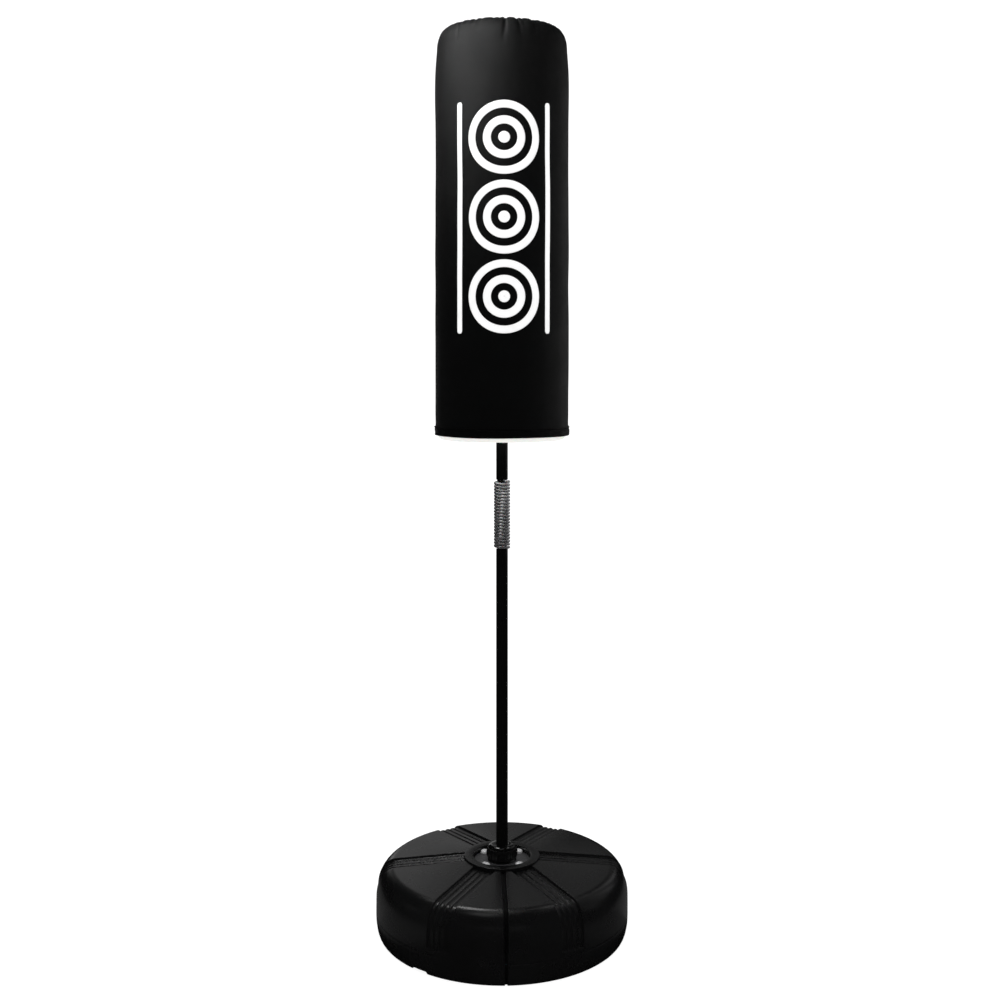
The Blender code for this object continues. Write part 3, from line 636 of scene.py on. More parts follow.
def stitch_tree():
    """Small bead-shaped stitches along the edges of a mesh line."""
    tree, into, out = new_tree("row_of_stitches", [
        ("Pitch", "Float", 0.0036), ("Stitch Length", "Float", 0.0026), ("Thread Radius", "Float", 0.00035),
        ("Material", "Material", None)])
    line = tree_node(tree, "GeometryNodeMeshToCurve", {"Mesh": into.outputs["Geometry"]})
    points = tree_node(tree, "GeometryNodeCurveToPoints", {
        "Curve": line.outputs[0], "Length": into.outputs["Pitch"]}, mode="LENGTH")
    bead = tree_node(tree, "GeometryNodeMeshUVSphere", {"Segments": 6, "Rings": 4, "Radius": 1.0})
    half = tree_node(tree, "ShaderNodeMath", {0: into.outputs["Stitch Length"], 1: 0.5}, operation="MULTIPLY")
    size = tree_node(tree, "ShaderNodeCombineXYZ", {
        "X": half.outputs[0], "Y": into.outputs["Thread Radius"], "Z": into.outputs["Thread Radius"]})
    aim = tree_node(tree, "FunctionNodeAlignRotationToVector", {"Vector": points.outputs["Tangent"]}, axis="X")
    copies = tree_node(tree, "GeometryNodeInstanceOnPoints", {
        "Points": points.outputs["Points"], "Instance": bead.outputs["Mesh"],
        "Rotation": aim.outputs[0], "Scale": size.outputs[0]})
    end_tree(tree, copies.outputs[0], into.outputs["Material"], out)
    return tree


def shared_tree(name, make):
    return bpy.data.node_groups.get(name) or make()


# ---------------------------------------------------------------- base
def base_rows(settings):
    """The base's outline: r, z, share of the channels, share of the front groove, share of its thin line."""
    ring_inner, ring_outer = PLATE_RADIUS + 0.0009, RING_RADIUS
    deck_top, shoulder_top, shoulder_bottom = 0.133, 0.123, 0.064
    well, floor, top = HUB_BORE, 0.1235, SHELL_TOP
    deck_end = 0.192
    fillet = settings.ring_fillet
    inner = rounded([(well, 0.008, 0.0008), (well, floor, 0.0005), (ring_inner, floor, 0.0006),
                     (ring_inner, top, fillet), (ring_outer, top, fillet), (ring_outer, deck_top + 0.0006, 0)],
                    5, closed=False)
    rows = [(r, z, 0, 0, 0) for r, z in with_supports([(0.004, 0.008), (well - 0.001, 0.008)] + inner, 0.012)]
    reach = np.linspace(ring_outer + 0.0001, SHELL_RADIUS, 900)
    line = deck_top - (deck_top - shoulder_top) * (reach - ring_outer) / (deck_end - ring_outer)
    inside = np.clip((reach - deck_end) / (SHELL_RADIUS - deck_end), 0, 1)
    curve = shoulder_bottom + (shoulder_top - shoulder_bottom) * (1 - inside ** 2.5) ** 0.4
    z = np.where(reach < deck_end, line, np.minimum(line, curve))
    skin = np.stack([reach, z], 1)
    steps = np.r_[0, np.cumsum(np.hypot(*np.diff(skin, axis=0).T))]
    even = np.linspace(0, steps[-1], 1200)
    skin = np.stack([np.interp(even, steps, skin[:, 0]), np.interp(even, steps, skin[:, 1])], 1)
    width = 21
    soft = np.stack([np.convolve(np.pad(skin[:, k], width, mode="edge"), np.ones(2 * width + 1) / (2 * width + 1),
                                 "valid") for k in (0, 1)], 1)
    near = smooth_step(0.200, 0.205, skin[:, 0]) * (1 - smooth_step(0.222, 0.228, skin[:, 0]))
    skin = skin + (soft - skin) * near[:, None]
    steps = np.r_[0, np.cumsum(np.hypot(*np.diff(skin, axis=0).T))]
    flat_end = np.interp(0.1965, skin[:, 0], steps)
    stops = np.r_[0, 0.0006, np.linspace(0.003, flat_end, 18), np.linspace(flat_end, steps[-1], 40)[1:]]
    for s in stops:
        rows.append((np.interp(s, steps, skin[:, 0]), np.interp(s, steps, skin[:, 1]), 1, 1, 0))
    for height in (0.0610, 0.0580, 0.0550, 0.0525, 0.0510, 0.0502, 0.0494, 0.0486, 0.0478, 0.0470, 0.0455,
                   0.0430, 0.0410, 0.0402, 0.0396, 0.0391, 0.0386, 0.0381, 0.0376, 0.0370):
        rows.append((SHELL_RADIUS, height, float(smooth_step(0.0474, 0.0506, height)),
                     float(smooth_step(0.050, 0.062, height)), float(1 - smooth_step(0.056, 0.066, height))))
    for k in range(13):
        angle = math.radians(90 * k / 12)
        rows.append((SHELL_RADIUS - 0.0095 + 0.0095 * math.cos(angle), 0.036 - 0.036 * math.sin(angle), 0, 0, 1))
    rows += [(r, 0.0, 0, 0, 0) for r in (0.222, 0.215, 0.16, 0.09, 0.03)]
    return np.array(rows)


def base_columns(settings):
    """Columns round the base: (lane angle, offset, lane angle, offset, share), each pair one edge of a sector."""
    wall, ribs = settings.channel_width / 2, settings.channel_width / 4
    offsets = [0.0]
    for edge in (-wall, wall):
        offsets += [edge + k for k in (-0.0024, -0.0016, -0.0010, -0.0005, 0, 0.0005, 0.0010, 0.0018)]
    for rib in (-ribs, 0.0, ribs):
        offsets += [rib + k for k in (-0.0034, -0.0026, -0.0019, -0.0012, -0.0005, 0.0005, 0.0012, 0.0019,
                                      0.0026, 0.0034)]
    channel = sorted(set(round(o, 6) for o in offsets))
    groove = [k / 1000 for k in (0.0, 0.7, 1.3, 1.8, 2.3, 2.8, 3.3, 3.8, 4.3, 4.8, 5.4, 6.2, 7.2)]
    groove = sorted(set([-g for g in groove] + groove))
    lanes = [(0, groove)] + [(angle, channel) for angle in CHANNEL_ANGLES]
    columns = []
    for k, (angle, lane) in enumerate(lanes):
        columns += [(angle, t, angle, t, 0.0) for t in lane]
        after, next_lane = lanes[(k + 1) % len(lanes)]
        after = after + 360 if k + 1 == len(lanes) else after
        parts = 5 if after - angle < 45 else 11
        columns += [(angle, lane[-1], after, next_lane[0], s / parts) for s in range(1, parts)]
    return np.array(columns)


def base_mesh(settings):
    rows, columns = base_rows(settings), base_columns(settings)
    r, z = rows[:, 0], rows[:, 1]
    along = np.stack([np.gradient(r), np.gradient(z)], 1)
    along /= np.linalg.norm(along, axis=1)[:, None]
    ring_end = np.argmax(rows[:, 2] > 0)
    inward_r, inward_z = along[:, 1].copy(), -along[:, 0].copy()
    inward_r[ring_end:ring_end + 3], inward_z[ring_end:ring_end + 3] = 0.0, -1.0

    radius = np.maximum(r, RING_RADIUS)[:, None]
    first = np.radians(columns[:, 0]) + np.arcsin(np.clip(columns[:, 1] / radius, -1, 1))
    second = np.radians(columns[:, 2]) + np.arcsin(np.clip(columns[:, 3] / radius, -1, 1))
    angle = first + (second - first) * columns[:, 4]

    on_lane = columns[:, 4] == 0.0
    offset = np.abs(columns[:, 1])
    is_groove = on_lane & (columns[:, 0] == 0)
    is_channel = on_lane & ~is_groove
    half = settings.channel_width / 2
    floor = 1 - smooth_step(half - settings.channel_wall, half + 0.0004, offset)
    ribs = np.zeros(len(columns))
    for place in (-settings.channel_width / 4, 0.0, settings.channel_width / 4):
        near = np.clip(np.abs(columns[:, 1] - place) / settings.rib_half_width, 0, 1)
        ribs = np.maximum(ribs, 0.5 + 0.5 * np.cos(np.pi * near))
    channel_depth = np.where(is_channel, settings.channel_depth * floor - settings.rib_height * ribs * floor, 0)
    channel_depth = np.maximum(channel_depth, 0)
    groove_depth = np.where(is_groove, GROOVE_DEPTH * np.clip(1 - offset / GROOVE_HALF_WIDTH, 0, 1) ** 0.8, 0)
    line_depth = np.where(is_groove, LINE_DEPTH * np.clip(1 - offset / LINE_HALF_WIDTH, 0, 1) ** 0.8, 0)
    depth = np.maximum(rows[:, 2:3] * channel_depth,
                       np.maximum(rows[:, 3:4] * groove_depth, rows[:, 4:5] * line_depth))
    depth += 0.0007 * np.exp(-((z - 0.0388) / 0.0009) ** 2)[:, None] * (r > 0.2)[:, None]
    rr = r[:, None] + inward_r[:, None] * depth
    zz = np.maximum(z[:, None] + inward_z[:, None] * depth, 0.0)
    points = np.stack([rr * np.sin(angle), -rr * np.cos(angle), zz], -1)
    return grid_mesh("moulded_base", points, cap=True)


def soft_box(size, centre, bevel):
    form = bmesh.new()
    bmesh.ops.create_cube(form, size=1.0, matrix=Matrix.Translation(centre) @ Matrix.Diagonal((*size, 1.0)))
    bmesh.ops.bevel(form, geom=list(form.edges), offset=bevel, segments=3, profile=0.5, affect="EDGES")
    mesh = bpy.data.meshes.new("soft_box")
    form.to_mesh(mesh)
    form.free()
    return mesh


def to_the_back(mesh, height):
    """Turns a mesh about Z so that its +Z points to the back, at this height."""
    mesh.transform(Matrix.Translation((0, 0, height)) @ Matrix.Rotation(math.radians(-90), 4, "X"))
    return mesh


def foot_notch():
    mesh = soft_box((0.03, 0.037, 0.016), (0.2185 + 0.015, 0, 0.006 - 0.008), 0.0022)
    mesh.transform(Matrix.Rotation(math.radians(-41 - 90), 4, "Z"))
    return mesh


class BaseSettings(PropertyGroup):
    channel_width: length("Channel width", "Width of a moulded channel", 0.045, 0.02, 0.08)
    channel_depth: length("Channel depth", "Depth of a channel's floor", 0.004, 0.001, 0.006)
    channel_wall: length("Channel wall", "Width that a channel's sloping wall takes", 0.0016, 0.0005, 0.004)
    rib_height: length("Rib height", "Height of the three ribs in a channel", 0.0016, 0.0, 0.004)
    rib_half_width: length("Rib half width", "From a rib's middle to its foot", 0.0032, 0.001, 0.005)
    ring_fillet: length("Ring fillet", "Rounding of the raised ring's two edges", 0.0014, 0.0002, 0.003)
    colour: colour_choice("Shell colour", "Colour of the moulded shell", (0.0024, 0.0024, 0.0025))
    roughness: FloatProperty(name="Shell roughness", description="Roughness of the moulded shell", default=0.27,
                             min=0.0, max=1.0, subtype="FACTOR")


class BAG_OT_moulded_base(Operator):
    """Build the moulded base shell with its channels, ring, foot notch and filler pocket"""
    bl_idname = "punching_bag.moulded_base"
    bl_label = "Moulded Base"

    def execute(self, context):
        settings = context.scene.bag_base
        look = moulded_plastic("satin_polyethylene", settings.colour, settings.roughness, groove=True)
        shell = add_piece("moulded_base", base_mesh(settings), look)
        carve(shell, foot_notch())
        pocket = rounded([(0, 0, 0), (0.0265, 0, 0.0012), (0.0265, 0.02, 0), (0, 0.02, 0)], 4)
        carve(shell, to_the_back(shifted(turned_mesh("pocket", pocket, 64), 0.2225), FILLER_HEIGHT))
        hollow = copy_of_node("ballast_fill")
        form = bmesh.new()
        form.from_mesh(hollow)
        form.normal_update()
        for vertex in form.verts:
            vertex.co += vertex.normal * 0.0003
        form.to_mesh(hollow)
        form.free()
        carve(shell, hollow)
        hole = [(0, 0, 0), (0.018, 0, 0), (0.018, 0.012, 0), (0, 0.012, 0)]
        carve(shell, to_the_back(shifted(turned_mesh("hole", rounded(hole), 48), 0.2145), FILLER_HEIGHT))
        shell.data.shade_smooth()
        shell.data.set_sharp_from_angle(angle=math.radians(38))
        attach(shell, "base")
        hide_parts("base_shell")
        paint_nodes(still_water("ballast_water", (0.25, 0.45, 0.55)), "ballast_fill")
        return {"FINISHED"}


def shifted(mesh, lift):
    mesh.transform(Matrix.Translation((0, 0, lift)))
    return mesh


class BAG_OT_filler(Operator):
    """Build the filling hole's screw cap and finish its gasket"""
    bl_idname = "punching_bag.filler"
    bl_label = "Filler Cap"

    def execute(self, context):
        settings = context.scene.bag_base
        look = grip_plastic("cap_plastic_black", tint(settings.colour, 1.6), 0.5)
        seat, height = 0.2251, FILLER_HEIGHT
        outline = rounded([(0, 0.0078, 0), (0.0185, 0.0078, 0.001), (0.0200, 0.009, 0.0008), (0.0250, 0.009, 0.0014),
                           (0.0250, 0, 0.0004), (0.0177, 0, 0.0004), (0.0177, -0.016, 0.0012), (0, -0.016, 0)], 4)

        def knurl(r, z, angle):
            if r > 0.0205 and z > 0.0002:
                r -= 0.0005 * (0.5 - 0.5 * math.cos(36 * angle)) ** 2 * (1 if r > 0.0235 else 0)
            if abs(r - 0.0177) < 0.0003 and -0.0145 < z < -0.001:
                r -= 0.0005 * (0.5 + 0.5 * math.sin(2 * math.pi * z / 0.003 - angle))
            return r, z

        body = turned_mesh("screw_cap", with_supports(outline + outline[:1], 0.0012)[:-1], 144, knurl)
        cap = add_piece("screw_cap", to_the_back(shifted(body, seat), height), look)
        slot = soft_box((0.034, 0.0045, 0.008), (0, 0, 0.0078), 0.0006)
        carve(cap, to_the_back(shifted(slot, seat), height))
        cap.data.shade_smooth()
        cap.data.set_sharp_from_angle(angle=math.radians(40))
        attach(cap, "filler_cap")
        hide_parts("filler_cap")
        paint_nodes(soft_rubber("black_rubber", (0.012, 0.012, 0.012)), "filler_gasket")
        return {"FINISHED"}


# ---------------------------------------------------------------- hub
class HubSettings(PropertyGroup):
    rib_count: IntProperty(name="Grip ribs", description="Ribs round the lock collar", default=26, min=6, max=60)
    rib_proud: length("Rib relief", "How far a grip rib stands out", 0.0013, 0.0002, 0.003)
    plate_colour: colour_choice("Plate colour", "Colour of the bolted plate", (0.050, 0.050, 0.052))
    gloss_colour: colour_choice("Gloss colour", "Colour of the flange and collar cap", (0.0016, 0.0016, 0.0016))
    bolt_turns: FloatProperty(name="Bolt turns", description="How differently the screws' recesses are turned",
                              default=1.3, min=0.0, max=3.14, subtype="ANGLE", unit="ROTATION")


def bolt_mesh():
    """One pan-head screw with a cross recess, its seat at height 0."""
    outline = rounded([(0, 0.0055, 0), (0.0052, 0.0053, 0.002), (0.0078, 0.0036, 0.0016), (0.0080, 0, 0.0003),
                       (0.004, 0, 0.0002), (0.004, -0.022, 0.0008), (0, -0.022, 0)], 5)
    screw = add_piece("pan_head", turned_mesh("pan_head", outline, 40), bpy.data.materials.new("raw"))
    for quarter in (0, 1):
        bar = soft_box((0.0088, 0.0021, 0.0046), (0, 0, 0.0055), 0.0004)
        bar.transform(Matrix.Rotation(quarter * math.pi / 2, 4, "Z"))
        carve(screw, bar)
    mesh = screw.data.copy()
    bpy.data.objects.remove(screw)
    return mesh


class BAG_OT_hub(Operator):
    """Build the hub: plate, four screws, foot flange, ribbed lock collar and domed cap"""
    bl_idname = "punching_bag.hub"
    bl_label = "Hub"

    def execute(self, context):
        settings = context.scene.bag_hub
        coat = hammered_coat("hammered_grey_coat", settings.plate_colour)
        gloss = gloss_lacquer("gloss_black_plastic", settings.gloss_colour, 0.07)
        grip = grip_plastic("grip_black_plastic", tint(settings.gloss_colour, 0.9), 0.5)
        zinc = plated("bright_zinc", (0.90, 0.90, 0.91), 0.26, 0.55)

        plate_outline = rounded([(HUB_BORE, PLATE_TOP, 0.0004), (PLATE_RADIUS, PLATE_TOP, 0.0007),
                                 (PLATE_RADIUS, PLATE_BOTTOM, 0.0003), (HUB_BORE, PLATE_BOTTOM, 0.0003)], 4)
        plate = add_piece("pressed_plate", turned_mesh("pressed_plate", plate_outline, 128), coat)
        for number in range(4):
            angle = math.pi * (0.25 + number / 2)
            hole = turned_mesh("hole", [(0, 0.115), (0, 0.135), (0.0043, 0.135), (0.0043, 0.115)], 24)
            hole.transform(Matrix.Translation((BOLT_CIRCLE_RADIUS * math.cos(angle),
                                               BOLT_CIRCLE_RADIUS * math.sin(angle), 0)))
            carve(plate, hole)
        plate.data.shade_smooth()
        plate.data.set_sharp_from_angle(angle=math.radians(35))
        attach(plate, "base")
        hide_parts("mounting_plate")

        one = bpy.data.objects.new("one_screw", bolt_mesh())
        bpy.context.scene.collection.objects.link(one)
        tree = shared_tree("ring_of_copies", ring_tree)
        screws = grow("plate_screws", tree, zinc, {
            "Copy": one, "Count": 4, "Ring Radius": BOLT_CIRCLE_RADIUS, "Height": PLATE_TOP + 0.0003,
            "First Angle": math.pi / 4, "Spread Of Turns": settings.bolt_turns, "Seed": 7})
        bpy.data.objects.remove(one)
        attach(screws, "base")
        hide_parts(*[f"plate_bolt_{n}" for n in (1, 2, 3, 4)])

        bottom, top = low("socket_flange").z, high("socket_flange").z
        outline = rounded([(HUB_BORE, top, 0.0003), (0.0252, top, 0.0008), (0.0270, bottom + 0.0012, 0.0012),
                           (0.0270, bottom, 0.0004), (HUB_BORE, bottom, 0.0003)], 5)
        flange = add_piece("foot_flange", turned_mesh("foot_flange", outline, 96), gloss)
        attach(flange, "base")
        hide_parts("socket_flange")

        bottom, top = low("lock_collar").z, high("lock_collar").z
        tall = top - bottom
        barrel = [(HUB_BORE, top, 0.0003)]
        for k in range(9):
            share = k / 8
            bulge = 0.0013 * math.sin(math.pi * share)
            barrel.append((0.0282 + bulge - 0.0012, top - tall * share, 0.0008 if k in (0, 8) else 0))
        barrel.append((HUB_BORE, bottom, 0.0003))
        collar = add_piece("collar_barrel", turned_mesh("collar_barrel", rounded(barrel, 4), 104), grip)
        rib = bpy.data.objects.new("one_rib", self.rib_mesh(tall, settings.rib_proud))
        bpy.context.scene.collection.objects.link(rib)
        ribs = grow("collar_ribs", tree, grip, {
            "Copy": rib, "Count": settings.rib_count, "Ring Radius": 0.0268, "Height": bottom,
            "First Angle": 0.0, "Spread Of Turns": 0.0, "Seed": 1}, smooth=60)
        bpy.data.objects.remove(rib)
        for piece in (collar, ribs):
            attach(piece, "lock_collar")
        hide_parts("lock_collar")

        bottom, top = low("collar_cap").z, high("collar_cap").z
        outline = [(0.0113, bottom), (0.0113, top - 0.0005), (0.0120, top)]
        for k in range(1, 10):
            angle = math.radians(90 - 90 * k / 10)
            outline.append((0.0120 + (0.0252 - 0.0120) * math.cos(angle),
                            top - 0.0043 + 0.0043 * math.sin(angle) ** 0.9))
        outline += rounded([(0.0252, top - 0.0043, 0), (0.0256, top - 0.0050, 0.0004), (0.0256, bottom, 0.0007),
                            (0.0113, bottom, 0)], 4, closed=False)[1:-1]
        cap = add_piece("collar_dome", turned_mesh("collar_dome", outline, 96), gloss, 50)
        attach(cap, "collar_cap")
        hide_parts("collar_cap")
        paint_nodes(plated("soft_brass", (0.72, 0.53, 0.22), 0.3), *[f"threaded_insert_{n}" for n in (1, 2, 3, 4)])
        return {"FINISHED"}

    @staticmethod
    def rib_mesh(tall, proud):
        """One grip rib: an upright rounded bar that follows the barrel, from height 0, outwards along +X."""
        rows, across = 13, 9
        points = []
        for i in range(rows):
            share = i / (rows - 1)
            ends = math.sin(math.pi * min(max(share, 0.03), 0.97)) ** 0.35
            bulge = 0.0013 * math.sin(math.pi * share)
            for j in range(across):
                angle = math.pi * (j / (across - 1) - 0.5)
                points.append((bulge + proud * ends * math.cos(angle),
                               0.0020 * ends * math.sin(angle), tall * (0.04 + 0.92 * share)))
        faces = []
        for i in range(rows - 1):
            for j in range(across - 1):
                a = i * across + j
                faces.append((a, a + 1, a + across + 1, a + across))
            faces.append((i * across + across - 1, i * across, (i + 1) * across, (i + 1) * across + across - 1))
        faces.append(tuple(range(across))[::-1])
        faces.append(tuple((rows - 1) * across + j for j in range(across)))
        mesh = bpy.data.meshes.new("one_rib")
        mesh.from_pydata(points, [], faces)
        form = bmesh.new()
        form.from_mesh(mesh)
        bmesh.ops.recalc_face_normals(form, faces=form.faces)
        form.to_mesh(mesh)
        form.free()
        return mesh


# ---------------------------------------------------------------- pole and spring
class PoleSettings(PropertyGroup):
    paint_colour: colour_choice("Paint colour", "Colour of the pole's paint", (0.0012, 0.0012, 0.0012))
    wire_radius: length("Wire radius", "Radius of the spring's wire", 0.0026, 0.001, 0.004)
    turns: FloatProperty(name="Turns", description="Turns in the whole spring", default=21.2, min=5, max=40)


class BAG_OT_pole(Operator):
    """Build both pole tubes and finish the fittings inside them"""
    bl_idname = "punching_bag.pole"
    bl_label = "Pole"

    def execute(self, context):
        settings = context.scene.bag_pole
        paint = tube_paint("satin_black_paint", settings.paint_colour, 0.3)
        for name, node, body in (("pole_tube_lower", "lower_pole", "base"), ("pole_tube_upper", "upper_pole", "bag")):
            bottom, top = low(node).z, high(node).z
            bore = POLE_RADIUS - 0.002
            outline = rounded([(bore, top, 0.0004), (POLE_RADIUS, top, 0.0006), (POLE_RADIUS, bottom, 0.0006),
                               (bore, bottom, 0.0004)], 4)
            tube = add_piece(name, turned_mesh(name, with_supports(outline + outline[:1], 0.05)[:-1], 72), paint)
            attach(tube, body)
            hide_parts(node)
        paint_nodes(paint, "pole_socket")
        paint_nodes(plated("dull_zinc", (0.7, 0.7, 0.71), 0.28), "lower_spring_plug", "upper_spring_plug")
        paint_nodes(grip_plastic("natural_nylon", (0.72, 0.71, 0.66), 0.5), "pole_bush", "core_plug")
        paint_nodes(grip_plastic("end_cap_plastic", (0.012, 0.012, 0.012), 0.45), "pole_end_cap")
        paint_nodes(grip_plastic("grey_liner_plastic", (0.55, 0.55, 0.55), 0.5), "core_tube")
        return {"FINISHED"}


class BAG_OT_spring(Operator):
    """Wind the coil spring as two halves, one above the other"""
    bl_idname = "punching_bag.spring"
    bl_label = "Spring"

    def execute(self, context):
        settings = context.scene.bag_pole
        wire = settings.wire_radius
        steel = plated("bright_spring_steel", (0.80, 0.80, 0.82), 0.22, 0.96)
        tree = shared_tree("coil_of_wire", coil_tree)
        first = SPRING_BOTTOM + wire + 0.0003
        rise = SPRING_TOP - wire - 0.0003 - first
        middle = (SPRING_BOTTOM + SPRING_TOP) / 2
        coil_radius = SPRING_RADIUS - wire
        halves = (("spring_lower_half", first, 0.0, "base", "spring_middle", SPRING_BOTTOM + 0.002, middle - 0.002),
                  ("spring_upper_half", first + rise / 2, -math.pi * settings.turns, "spring_middle", "bag",
                   middle + 0.002, SPRING_TOP - 0.002))
        for name, bottom, angle, lower, upper, start, end in halves:
            coil = grow(name, tree, steel, {
                "Coil Radius": coil_radius, "Wire Radius": wire, "Bottom": bottom, "Height": rise / 2,
                "Turns": settings.turns / 2, "Start Angle": angle, "Points Per Turn": 28}, smooth=60)
            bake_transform(coil)
            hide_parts("coil_spring")
        return {"FINISHED"}


# ---------------------------------------------------------------- bag
class BagSettings(PropertyGroup):
    gathers: IntProperty(name="Gathers", description="Sewn gathers round the top edge", default=46, min=8, max=90)
    gather_depth: length("Gather depth", "Depth of an average gather at the seam", 0.0030, 0.0, 0.004)
    gather_reach: length("Gather reach", "How far down an average gather runs", 0.022, 0.005, 0.08)
    pressure: FloatProperty(name="Fill pressure", description="Pressure under the cover while its gathers settle",
                            default=2.5, min=0.0, max=20.0)
    most_move: length("Most movement", "How far the settling may move the cloth", 0.007, 0.0, 0.03)
    stitch_pitch: length("Stitch pitch", "Distance between stitches", 0.0038, 0.002, 0.01)
    fabric_colour: colour_choice("Fabric colour", "Colour of the cover's fabric", (0.0011, 0.0011, 0.0012))
    foam_colour: colour_choice("Foam colour", "Colour of the foam core", (0.86, 0.86, 0.85))


def cover_outline():
    """The cover's outside from the top seam to the lower edge, as (r, z) rows, close together near the top."""
    crown_end, taper_start = COVER_TOP - 0.038, COVER_TOP - 0.092
    waist = COVER_RADIUS - 0.0028
    points = []
    for k in range(15):
        angle = math.radians(90 - 90 * k / 14)
        points.append((COVER_TOP_RADIUS + (waist - COVER_TOP_RADIUS) * math.cos(angle) ** 0.9,
                       crown_end + (COVER_TOP - 0.0012 - crown_end) * math.sin(angle)))
    for k in range(1, 13):
        share = k / 12
        points.append((waist + (COVER_RADIUS - waist) * math.sin(share * math.pi / 2),
                       crown_end + (taper_start - crown_end) * share))
    height = taper_start
    for step in [0.007] * 6 + [0.013] * 60:
        height -= step
        if height < COVER_BOTTOM + 0.034:
            break
        points.append((COVER_RADIUS, height))
    for k in range(1, 7):
        points.append((COVER_RADIUS, height + (COVER_BOTTOM + 0.0004 - height) * k / 6))
    return np.array(points)


def gathers(settings, angle, down):
    """How far the fabric is drawn in at this angle and distance below the top seam."""
    chance = np.random.default_rng(11)
    count = settings.gathers
    places = (np.arange(count) + chance.uniform(-0.34, 0.34, count)) * 2 * np.pi / count
    depths = settings.gather_depth * chance.uniform(0.35, 1.55, count)
    widths = chance.uniform(0.0020, 0.0042, count)
    reaches = settings.gather_reach * chance.uniform(0.45, 2.2, count)
    leans = chance.uniform(-0.10, 0.10, count)
    drawn = np.zeros(np.broadcast(angle, down).shape)
    for place, depth, width, reach, lean in zip(places, depths, widths, reaches, leans):
        off = (angle - place + np.pi) % (2 * np.pi) - np.pi
        off = off * COVER_RADIUS - lean * down
        spread = width * (1 + down / 0.05)
        drawn += depth * np.exp(-(off / spread) ** 2) * np.exp(-(down / reach) ** 1.6)
    swell = 0.45 * settings.gather_depth * np.exp(-down / 0.018)
    return drawn - swell


def slack(angle, z):
    """Slow unevenness of the fabric over the foam."""
    chance = np.random.default_rng(23)
    total = np.zeros(np.broadcast(angle, z).shape)
    for _ in range(16):
        waves = chance.integers(2, 9)
        tall = chance.uniform(0.10, 0.45)
        total += chance.uniform(0.00006, 0.00016) * np.sin(waves * angle + chance.uniform(0, 6.28)
                                                        + z / tall * 6.28 * chance.choice([-1, 1]))
    return total


def cover_points(settings, columns=240):
    rows = cover_outline()
    down = np.r_[0, np.cumsum(np.hypot(*np.diff(rows, axis=0).T))]
    angle = np.arange(columns) * 2 * np.pi / columns
    r, z = rows[:, 0:1], rows[:, 1:2]
    along = np.stack([np.gradient(rows[:, 0]), np.gradient(rows[:, 1])], 1)
    along /= np.linalg.norm(along, axis=1)[:, None]
    out_r, out_z = -along[:, 1:2], along[:, 0:1]
    drawn = gathers(settings, angle[None], down[:, None])
    ends = smooth_step(0.0, 0.03, down)[:, None] * smooth_step(0.0, 0.02, z - COVER_BOTTOM)
    puff = slack(angle[None], z) * ends
    hem_flare = -0.0006 * np.exp(-((z - COVER_BOTTOM - 0.024) / 0.006) ** 2)
    move = -drawn + puff + hem_flare
    rr, zz = r + out_r * move, z + out_z * move
    points = np.stack([rr * np.cos(angle), rr * np.sin(angle), zz], -1)
    uv = np.stack(np.broadcast_arrays(angle[None] * COVER_RADIUS, -down[:, None]), -1)
    return points, uv


